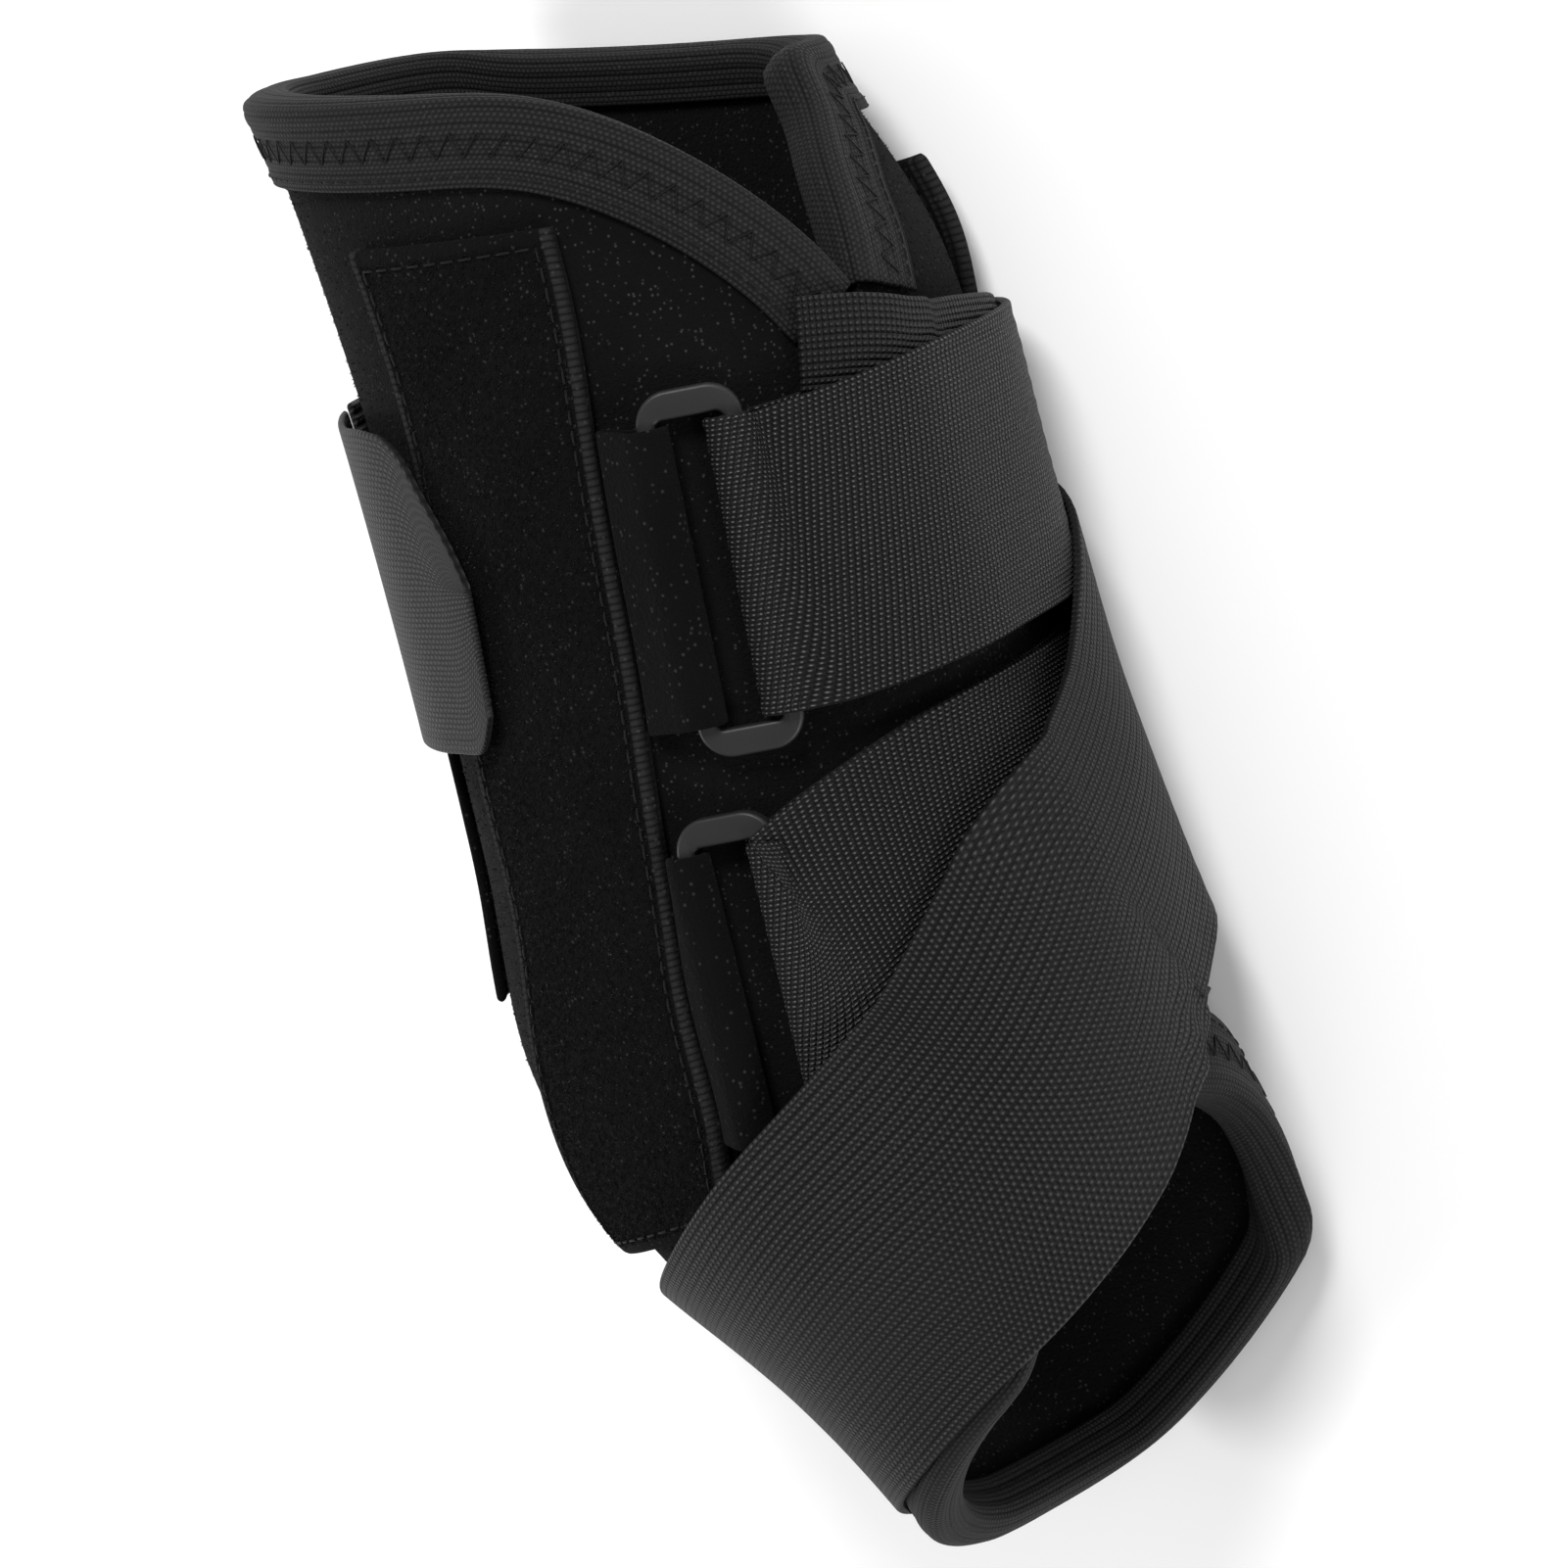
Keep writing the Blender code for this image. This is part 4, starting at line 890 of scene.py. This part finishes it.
sleeve = claim(buildSleeve(), "sleeve")
nap = bpy.data.objects.new("sleeveNapField", sleeve.data.copy())
bpy.context.scene.collection.objects.link(nap)
nap = growFrom(nap, "sleeveNap", tuftTree, {"Density": 3.6e5, "Height": 0.00035, "Radius": 0.00011, "Lean": 0.9,
                                            "Seed": 21, "Material": tufts})


# ---- bindings ----

tape = {"width": 0.012, "innerWidth": 0.007, "thickness": 0.0008, "gap": 0.0008, "rimInset": 0.001,
        "start": 0.0046, "endTurn": 2.5, "columns": 48, "notchRows": 4, "ribPitch": 0.0021, "ribHeight": 0.00014}


def tapeRelief(u, v, length, width):
    ribs = 0.5 - 0.5 * np.cos(2 * np.pi * v / tape["ribPitch"])
    return tape["ribHeight"] * ribs ** 0.35


def tapePoints(path, closed):
    stand = tape["gap"] + tape["thickness"] / 2
    wall = sleeveSizes["wall"]
    reaches = np.array((tape["width"], tape["width"] / 2, tape["innerWidth"], tape["rimInset"]))
    if closed:
        ring = np.vstack([path[-1] - (360, 0), path, path[0] + (360, 0)])
        turns, stations = across(ring, np.tile(reaches, (len(ring), 1)))
        turns, stations = turns[1:-1], stations[1:-1]
    else:
        turns, stations = across(path, np.tile(reaches, (len(path), 1)))

    def off(column, distance):
        return laid(turns[:, column], stations[:, column], np.full(len(path), distance))
    inset = off(3, -wall / 2)
    rim = laid(path[:, 0], path[:, 1], np.full(len(path), -wall / 2))
    out = unit(rim - inset)
    edgeOuter = laid(path[:, 0], path[:, 1], np.full(len(path), stand)) + out * stand / 2
    edgeInner = laid(path[:, 0], path[:, 1], np.full(len(path), -wall - stand)) + out * stand / 2
    points = np.stack([off(2, -wall - stand), edgeInner, rim + out * stand, edgeOuter, off(1, stand), off(0, stand)],
                      axis=1)
    return np.concatenate([points, points[:1]]) if closed else points


def legRimPath():
    rise = np.linspace(notchStation() - tape["start"] / sleeveSizes["length"], 0, tape["notchRows"] + 1)[:-1]
    shares = np.linspace(0, 1, tape["columns"] + 1)
    shares[-1] = 1 - tape["endTurn"] / 360
    top = [columnTop(share)[0:2] for share in shares]
    return np.vstack([np.stack([wingTurnAt(rise), rise], axis=1), top])


footTurns = sleeveSizes["notchTurn"] + 360 * np.linspace(0, 1, tape["columns"] + 1)[:-1]
footPath = np.stack([footTurns, footRimStation(footTurns)], axis=1)
bindings = {}
for name, node, path, closed in (("legBinding", "top_binding", legRimPath(), False),
                                 ("footBinding", "foot_binding", footPath, True)):
    points = tapePoints(path, closed)
    piece, face = clothPiece(name, points, tape["thickness"], binding, (0.0016, 0.0003), tapeRelief,
                             facing=-1, closed=closed)
    claim(piece, node)
    bindings[name] = face
    middle = face["width"] - tape["width"] / 2
    sewRow(name + "Zigzag", face, zigzagRow(0.002, face["length"] - 0.002, middle - 0.0019, middle + 0.0019,
                                                  0.0021), 0.0041, 0.00013, 0.00012)
    sewRow(name + "Row", face, straightRow(0.002, face["length"] - 0.002, face["width"] - 0.0016, 0.0026), 0.0018,
           0.00013, 0.00012)


# ---- stay panels and the pile patch ----

panel = {"thickness": 0.003, "pitch": 0.0062, "round": 0.0014, "liftTurns": 20.0, "wovenEdge": 0.0021}
# station, back turn, front turn, front lift
nearPanel = np.array(((0.095, 112, 65, 0), (0.220, 114, 72, 0), (0.430, 122, 78, 0), (0.580, 124, 83.5, 0),
                      (0.700, 137, 89, 0), (0.775, 150, 98, 0)), float)
farPanel = np.array(((0.112, -86, -37, 0.0026), (0.170, -86, -37.5, 0.0024), (0.225, -86, -38, 0.0008),
                     (0.430, -86, -39, 0.0008), (0.700, -86, -42, 0.0008)), float)


def panelPoints(table, columns):
    steps = int(round((table[-1, 0] - table[0, 0]) * sleeveSizes["length"] / panel["pitch"])) * 2
    stations = np.linspace(table[0, 0], table[-1, 0], steps + 1)
    row = throughRows(table[:, 0], table[:, 1:], stations)
    turns = row[:, 0:1] + (row[:, 1:2] - row[:, 0:1]) * np.linspace(0, 1, columns + 1)
    lift = row[:, 2:3] * np.clip(1 - (row[:, 1:2] - turns) / panel["liftTurns"], 0, 1) ** 2
    return laid(turns, np.broadcast_to(stations[:, None], turns.shape), layerGap + panel["thickness"] / 2 + lift)


def panelRelief(u, v, length, width):
    # the edge stitching pulls a shallow channel beside each long edge
    edge = np.minimum(v, width - v)
    return -0.00022 * np.exp(-((edge - 0.0030) / 0.0009) ** 2)


for name, node, table, columns, density in (("nearStayPanel", "near_stay_panel", nearPanel, 12, 5.0e6),
                                            ("farStayPanel", "far_stay_panel", farPanel, 12, 1.2e6)):
    piece, face = clothPiece(name, panelPoints(table, columns), panel["thickness"], pile, (0.0014, 0.0010),
                             panelRelief, facing=1, endRounds=(panel["round"], panel["round"]))
    claim(piece, node)
    # the panel look adds a woven edge, with a darker painted shade in the hollows between its ribs
    edgedLook = {**pileLook, "edge": {"Width": face["width"], "Band": panel["wovenEdge"]},
                 "edgeColor": grey(0.019), "paintedGrooveShade": grey(0.0015)}
    piece.data.materials[0] = clothMaterial(name + "Cloth", edgedLook)
    growPile(name + "Pile", face, density, 0.00045, seed=5, margin=panel["wovenEdge"])
    for edge, v in (("A", 0.0030), ("B", face["width"] - 0.0030)):
        sewRow(name + "Seam" + edge, face, straightRow(0.003, face["length"] - 0.003, v, 0.0030), 0.0021)
    for edge, u in (("C", 0.0030), ("D", face["length"] - 0.0030)):
        sewRow(name + "Seam" + edge, face,
               straightRow(0.003, face["width"] - 0.003, u, 0.0030, crosswise=True), 0.0021)

patch = {"thickness": 0.0016, "height": 0.044, "pitch": 0.004}
patchStand = layerGap + 0.0002 + patch["thickness"] / 2
patchRun = ((154, 0.508, patchStand), (180, 0.508, patchStand), (214, 0.500, patchStand))


def runRows(table, width, pitch, columns=8):
    table = evenly(table, pitch)
    shares = np.linspace(1, -1, columns + 1)
    reaches = np.broadcast_to(shares * width / 2, (len(table), len(shares)))
    turns, stations = across(table[:, 0:2], reaches)
    return laid(turns, stations, np.broadcast_to(table[:, 2:3], turns.shape))


piece, face = clothPiece("backPilePatch", runRows(patchRun, patch["height"], patch["pitch"]), patch["thickness"], pile,
                         (0.0012, 0.0012), facing=-1)
claim(piece, "back_pile_patch")
growPile("backPatchPile", face, 5.0e6, 0.00045, seed=7)
for edge, v in (("A", 0.0022), ("B", face["width"] - 0.0022)):
    sewRow("backPatchSeam" + edge, face, straightRow(0.002, face["length"] - 0.002, v, 0.0030), 0.0021)


# ---- rings ----

upperRing = {"name": "upperRing", "node": "upper_ring", "top": (54.5, 0.237), "low": (58.0, 0.425)}
lowerRing = {"name": "lowerRing", "node": "lower_ring", "top": (66.5, 0.512), "low": (74.0, 0.714)}


def ringAxes(ring):
    r = ringSizes
    top, low = onSleeve(*ring["top"]), onSleeve(*ring["low"])
    turn, station = (np.array(ring["top"]) + np.array(ring["low"])) / 2
    up = unit(top - low)
    out = outward(turn, station)
    out = unit(out - up * out.dot(up))
    roundLeg = np.cross(up, out)
    perTurn = slopesOnSleeve(turn, station)[0]
    if roundLeg.dot(perTurn) < 0:
        roundLeg = -roundLeg
    barReach = r["opening"] / 2 + r["bar"] / 2
    barStand = layerGap + webThickness + r["gap"] + r["thickness"] / 2
    skin = onSleeve(turn, station)
    barTurns = barReach / np.linalg.norm(perTurn)
    drop = min((skin - onSleeve(t + side * barTurns, s)).dot(out)
               for side in (-1, 1) for t, s in (ring["top"], (turn, station), ring["low"]))
    return skin + out * (barStand - drop), up, roundLeg, out


def buildRing(ring):
    r = ringSizes
    opening = strapWidth + 2 * r["sideClearance"]
    curve = bpy.data.curves.new(ring["name"], "CURVE")
    curve.dimensions, curve.fill_mode = "2D", "BOTH"
    curve.extrude = r["thickness"] / 2 - r["edgeRound"]
    curve.bevel_depth, curve.bevel_resolution, curve.offset = r["edgeRound"], 4, -r["edgeRound"]
    for length, width, corner in ((opening + 2 * r["end"], r["opening"] + 2 * r["bar"], r["corner"]),
                                  (opening, r["opening"], r["innerCorner"])):
        outline = curve.splines.new("POLY")
        points = []
        for quarter, (sx, sy) in enumerate(((1, 1), (-1, 1), (-1, -1), (1, -1))):
            for step in np.linspace(0, 1, 16):
                angle = math.pi / 2 * (quarter + step)
                points.append((sx * (length / 2 - corner) + corner * math.cos(angle),
                               sy * (width / 2 - corner) + corner * math.sin(angle), 0, 1))
        outline.points.add(len(points) - 1)
        for target, point in zip(outline.points, points):
            target.co = point
        outline.use_cyclic_u = True
    middle, up, roundLeg, out = ringAxes(ring)
    source = bpy.data.objects.new(ring["name"] + "Curve", curve)
    bpy.context.scene.collection.objects.link(source)
    graph = bpy.context.evaluated_depsgraph_get()
    mesh = bpy.data.meshes.new_from_object(source.evaluated_get(graph))
    bpy.data.objects.remove(source)
    axes = Matrix((up, np.cross(out, up), out)).transposed().to_4x4()
    mesh.transform(Matrix.Translation(Vector((middle + seat).tolist())) @ axes)
    shape = bmesh.new()
    shape.from_mesh(mesh)
    bmesh.ops.remove_doubles(shape, verts=shape.verts, dist=1e-6)
    bmesh.ops.recalc_face_normals(shape, faces=shape.faces)
    shape.to_mesh(mesh)
    shape.free()
    mesh.materials.clear()
    mesh.materials.append(ringPlastic)
    mesh.name = ring["name"]
    mesh.shade_smooth()
    mesh.set_sharp_from_angle(angle=math.radians(40))
    loop = bpy.data.objects.new(ring["name"], mesh)
    bpy.context.scene.collection.objects.link(loop)
    print("ring", ring["name"], "faces", len(mesh.polygons))
    return claim(loop, ring["node"])


for ring in (upperRing, lowerRing):
    buildRing(ring)


# ---- straps, tabs and the closure ----

besideSkin = layerGap + webThickness / 2
overPanel = layerGap + panel["thickness"] + layerGap + webThickness / 2
upperInner = ((-24, 0.322, besideSkin), (-8, 0.322, 0.0020), (12, 0.326, 0.0021), (33, 0.331, 0.0016),
              (45, 0.333, besideSkin))
upperOuter = ((-78, 0.320, overPanel), (-52, 0.322, overPanel + 0.0003), (-30, 0.322, 0.0057), (-8, 0.322, 0.0060),
              (12, 0.326, 0.0063), (30, 0.331, 0.0062), (41.5, 0.334, 0.0056))
lowerInner = ((-28, 0.553, besideSkin), (-4, 0.559, besideSkin), (20, 0.567, besideSkin),
              (42, 0.586, besideSkin + 0.0002), (55.5, 0.605, besideSkin + 0.0004))
lowerOuter = ((-76, 0.548, overPanel), (-52, 0.550, overPanel + 0.0006), (-34, 0.553, 0.0054), (-4, 0.559, 0.0028),
              (20, 0.567, 0.0028), (40, 0.584, 0.0047), (52, 0.601, 0.0068))
closureRun = ((-22, 0.308, 0.0039), (6, 0.288, 0.0041), (22, 0.274, 0.0041), (35.5, 0.266, 0.0036))
strapMake = {"pitch": 0.0040, "columns": 8, "foldSteps": 9, "upperSlack": 0.0014, "lowerSlack": 0.0004,
             "tabRootGap": 0.0006, "tabStretch": 1.08, "tabBulge": 0.0003, "closureWidth": 0.042}


def foldRows(ring, side, shares, slack=0.0):
    r = ringSizes
    middle, up, roundLeg, out = ringAxes(ring)
    bar = middle + roundLeg * side * (r["opening"] + r["bar"]) / 2
    reachFlat = r["bar"] / 2 + r["gap"] + webThickness / 2 + slack
    reachOut = r["thickness"] / 2 + r["gap"] + webThickness / 2
    behind = roundLeg * side * (r["bar"] / 2 + layerGap)
    line = [bar + behind - out * reachOut]
    for step in np.linspace(-1, 1, strapMake["foldSteps"]):
        angle = step * math.pi / 2
        line.append(bar - roundLeg * side * reachFlat * math.cos(angle) + out * reachOut * math.sin(angle))
    line.append(bar + behind + out * reachOut)
    return np.array([[point + up * share * strapWidth / 2 for share in shares] for point in line])


def webRelief(u, v, length, width):
    # the woven edge stands a little over the middle
    edge = np.minimum(v, width - v)
    return 0.00012 * smoothStep(1 - edge / 0.0026) + 0.00005 * np.sin(2 * np.pi * v / 0.0030)


def buildStrap(name, node, inner, outer, ring, slack):
    shares = np.linspace(1, -1, strapMake["columns"] + 1)
    first = runRows(inner, strapWidth, strapMake["pitch"], strapMake["columns"])
    last = runRows(outer, strapWidth, strapMake["pitch"], strapMake["columns"])
    points = np.concatenate([first, foldRows(ring, -1, shares, slack), last[::-1]])
    piece, face = clothPiece(name, points, webThickness, webbing, (0.0010, 0.0007), webRelief, facing=1,
                             reliefBack=webRelief)
    claim(piece, node)
    return face


def buildRingTab(name, node, ring):
    shares = np.linspace(1, -1, strapMake["columns"] + 1)
    bar = foldRows(ring, 1, shares)
    middle, up, roundLeg, out = ringAxes(ring)
    turn, station = (np.array(ring["top"]) + np.array(ring["low"])) / 2
    perTurn = np.linalg.norm(slopesOnSleeve(turn, station)[0])
    stations = station - shares * strapWidth / 2 / sleeveSizes["length"] * strapMake["tabStretch"]
    turns = throughRows(nearPanel[:, 0], nearPanel[:, 2], stations) - strapMake["tabRootGap"] / perTurn
    under = laid(turns, stations, np.full(len(shares), besideSkin))
    over = laid(turns, stations, np.full(len(shares), besideSkin + webThickness + layerGap))
    points = np.concatenate([[under, (under + bar[0]) / 2 + out * strapMake["tabBulge"]], bar,
                             [(over + bar[-1]) / 2 + out * strapMake["tabBulge"], over]])
    piece, face = clothPiece(name, points, webThickness, pile, (0.0008, 0.0008), facing=-1)
    claim(piece, node)
    growPile(name + "Pile", face, 5.0e6, 0.00032, seed=11)
    return face


upperFace = buildStrap("upperStrap", "upper_strap", upperInner, upperOuter, upperRing, strapMake["upperSlack"])
lowerFace = buildStrap("lowerStrap", "lower_strap", lowerInner, lowerOuter, lowerRing, strapMake["lowerSlack"])
for name, node, ring in (("upperRingTab", "upper_ring_tab", upperRing), ("lowerRingTab", "lower_ring_tab", lowerRing)):
    buildRingTab(name, node, ring)


def closureRelief(u, v, length, width):
    return 0.00016 * (0.5 - 0.5 * np.cos(2 * np.pi * v / 0.0020))


piece, face = clothPiece("closureTab", runRows(closureRun, strapMake["closureWidth"], strapMake["pitch"]), webThickness,
                         closureWeb, (0.0010, 0.0004), closureRelief, facing=-1)
claim(piece, "closure_tab")
for row, inset in (("A", 0.0022), ("B", 0.0052)):
    sewRow("closureSeam" + row, face,
           straightRow(0.002, face["width"] - 0.002, face["length"] - inset, 0.0026, crosswise=True), 0.0018)


# ---- the elastic wrap and its hook tab ----

# turn, station, stand of the foot-side edge, stand of the leg-side edge
wrapPath = ((214, 0.892, 0.0027, 0.0014), (180, 0.892, 0.0027, 0.0014), (146, 0.889, 0.0027, 0.0032),
            (112, 0.880, 0.0027, 0.0060), (84, 0.856, 0.0027, 0.0087), (60, 0.821, 0.0028, 0.0099),
            (38, 0.764, 0.0034, 0.0096), (16, 0.690, 0.0038, 0.0074), (-6, 0.618, 0.0042, 0.0071),
            (-28, 0.550, 0.0062, 0.0078), (-44, 0.500, 0.0070, 0.0075), (-58, 0.460, 0.0065, 0.0065),
            (-68, 0.432, 0.0064, 0.0064), (-82, 0.398, 0.0064, 0.0064), (-106, 0.352, 0.0063, 0.0063),
            (-120, 0.334, 0.0059, 0.0059), (-154, 0.314, 0.0038, 0.0038), (-180, 0.310, 0.0031, 0.0031),
            (-196.5, 0.310, 0.0031, 0.0031))
wrapBend = np.array(((-120, 0.0064), (-72, 0.0064), (-67, 0.0064), (-62, 0.0064), (-56, 0.0065), (-50, 0.0069),
                     (-44, 0.0075), (-36, 0.0077), (-10, 0.0074)), float)
wrapMake = {"thickness": 0.0014, "pitch": 0.0031, "columns": 12, "easeStart": 0.35, "bendStart": -16.0,
            "bendBlend": 22.0, "ribPitch": 0.0020, "ribHeight": 0.00042}


def wrapPoints():
    w = wrapMake
    table = evenly(wrapPath, w["pitch"])
    shares = np.linspace(1, -1, w["columns"] + 1)
    turns, stations = across(table[:, 0:2], np.broadcast_to(shares * wrapWidth / 2, (len(table), len(shares))))
    mix = smoothStep((1 - shares) / 2 / (1 - w["easeStart"]))
    stand = table[:, 2:3] * (1 - mix) + table[:, 3:4] * mix
    onBend = throughRows(wrapBend[:, 0], wrapBend[:, 1], turns)
    share = smoothStep((w["bendStart"] - turns) / w["bendBlend"])
    share = share * smoothStep((turns - wrapBend[0, 0]) / w["bendBlend"])
    return laid(turns, stations, stand * (1 - share) + onBend * share)


def wrapRelief(u, v, length, width):
    ribs = np.abs(np.sin(np.pi * v / wrapMake["ribPitch"]))
    return wrapMake["ribHeight"] * (ribs ** 0.6 - 0.75)


piece, face = clothPiece("wrapStrap", wrapPoints(), wrapMake["thickness"], elastic, (0.0022, 0.00034), wrapRelief,
                         facing=-1)
claim(piece, "wrap_strap")

hookTab = np.array(((160.5, 0.312, 1.00, 1.00, 0.0032), (150.0, 0.314, 1.00, 1.00, 0.0036),
                    (138.0, 0.316, 1.00, 1.00, 0.0046), (126.0, 0.317, 1.00, 1.00, 0.0052),
                    (117.0, 0.317, 1.00, 0.92, 0.0053), (112.0, 0.317, 1.00, 0.66, 0.0056),
                    (107.5, 0.317, 0.93, 0.34, 0.0060), (103.5, 0.318, 0.76, 0.02, 0.0064)))
hookMake = {"thickness": 0.0012, "pitch": 0.0030, "columns": 12, "dotPitch": 0.0012, "dotHeight": 0.00010}


def hookPoints():
    table = evenly(hookTab, hookMake["pitch"])
    shares = np.linspace(1, -1, hookMake["columns"] + 1)
    reach = np.maximum(shares, 0) * table[:, 2:3] + np.minimum(shares, 0) * table[:, 3:4]
    turns, stations = across(table[:, 0:2], reach * wrapWidth / 2)
    return laid(turns, stations, np.broadcast_to(table[:, 4:5], turns.shape))


def hookRelief(u, v, length, width):
    # a moulded back: dotted diagonal rows between smooth edge strips
    p = hookMake["dotPitch"]
    dots = (np.sin(2 * np.pi * (u + v) / (2 * p)) * np.sin(2 * np.pi * (u - v) / (2 * p))) ** 2
    inside = smoothStep((np.minimum(v, width - v) - 0.0030) / 0.0008)
    return hookMake["dotHeight"] * dots * inside


piece, face = clothPiece("hookTab", hookPoints(), hookMake["thickness"], hookCloth, (0.0004, 0.0004), hookRelief,
                         facing=-1)
claim(piece, "hook_tab")
for row, inset in (("A", 0.0020), ("B", 0.0050)):
    sewRow("hookSeam" + row, face,
           straightRow(0.003, face["width"] - 0.003, inset, 0.0030, crosswise=True), 0.0021)
print("wrap and hook tab made")


# ---- floor and light ----

def matteMaterial(name, color):
    material = bpy.data.materials.new(name)
    material.use_nodes = True
    shader = material.node_tree.nodes["Principled BSDF"]
    shader.inputs["Base Color"].default_value = (*color, 1)
    shader.inputs["Roughness"].default_value = 0.9
    return material


floorMesh = bpy.data.meshes.new("studioFloor")
floorMesh.from_pydata([(-4, -4, 0), (4, -4, 0), (4, 4, 0), (-4, 4, 0)], [], [(0, 1, 2, 3)])
floorMesh.materials.append(matteMaterial("paleFloor", (0.86, 0.86, 0.86)))
studioFloor = bpy.data.objects.new("studioFloor", floorMesh)
bpy.context.scene.collection.objects.link(studioFloor)

world = bpy.data.worlds.new("paleRoom")
world.use_nodes = True
world.node_tree.nodes["Background"].inputs["Color"].default_value = (1, 1, 1, 1)
world.node_tree.nodes["Background"].inputs["Strength"].default_value = 0.5
bpy.context.scene.world = world


def softBox(name, place, target, size, power):
    light = bpy.data.lights.new(name, "AREA")
    light.shape, light.size, light.energy = "DISK", size, power
    lamp = bpy.data.objects.new(name, light)
    lamp.location = place
    lamp.rotation_euler = (Vector(target) - Vector(place)).to_track_quat("-Z", "Y").to_euler()
    bpy.context.scene.collection.objects.link(lamp)


softBox("keyLight", (0.35, 0.95, 0.9), (0, 0, 0.03), 0.45, 15.0)
softBox("fillLight", (-1.0, -0.2, 0.8), (0, 0, 0.03), 0.6, 9.0)
softBox("toeLight", (0.9, -0.7, 0.6), (0, 0, 0.03), 0.5, 8.0)
bpy.context.scene.view_settings.view_transform = "Standard"

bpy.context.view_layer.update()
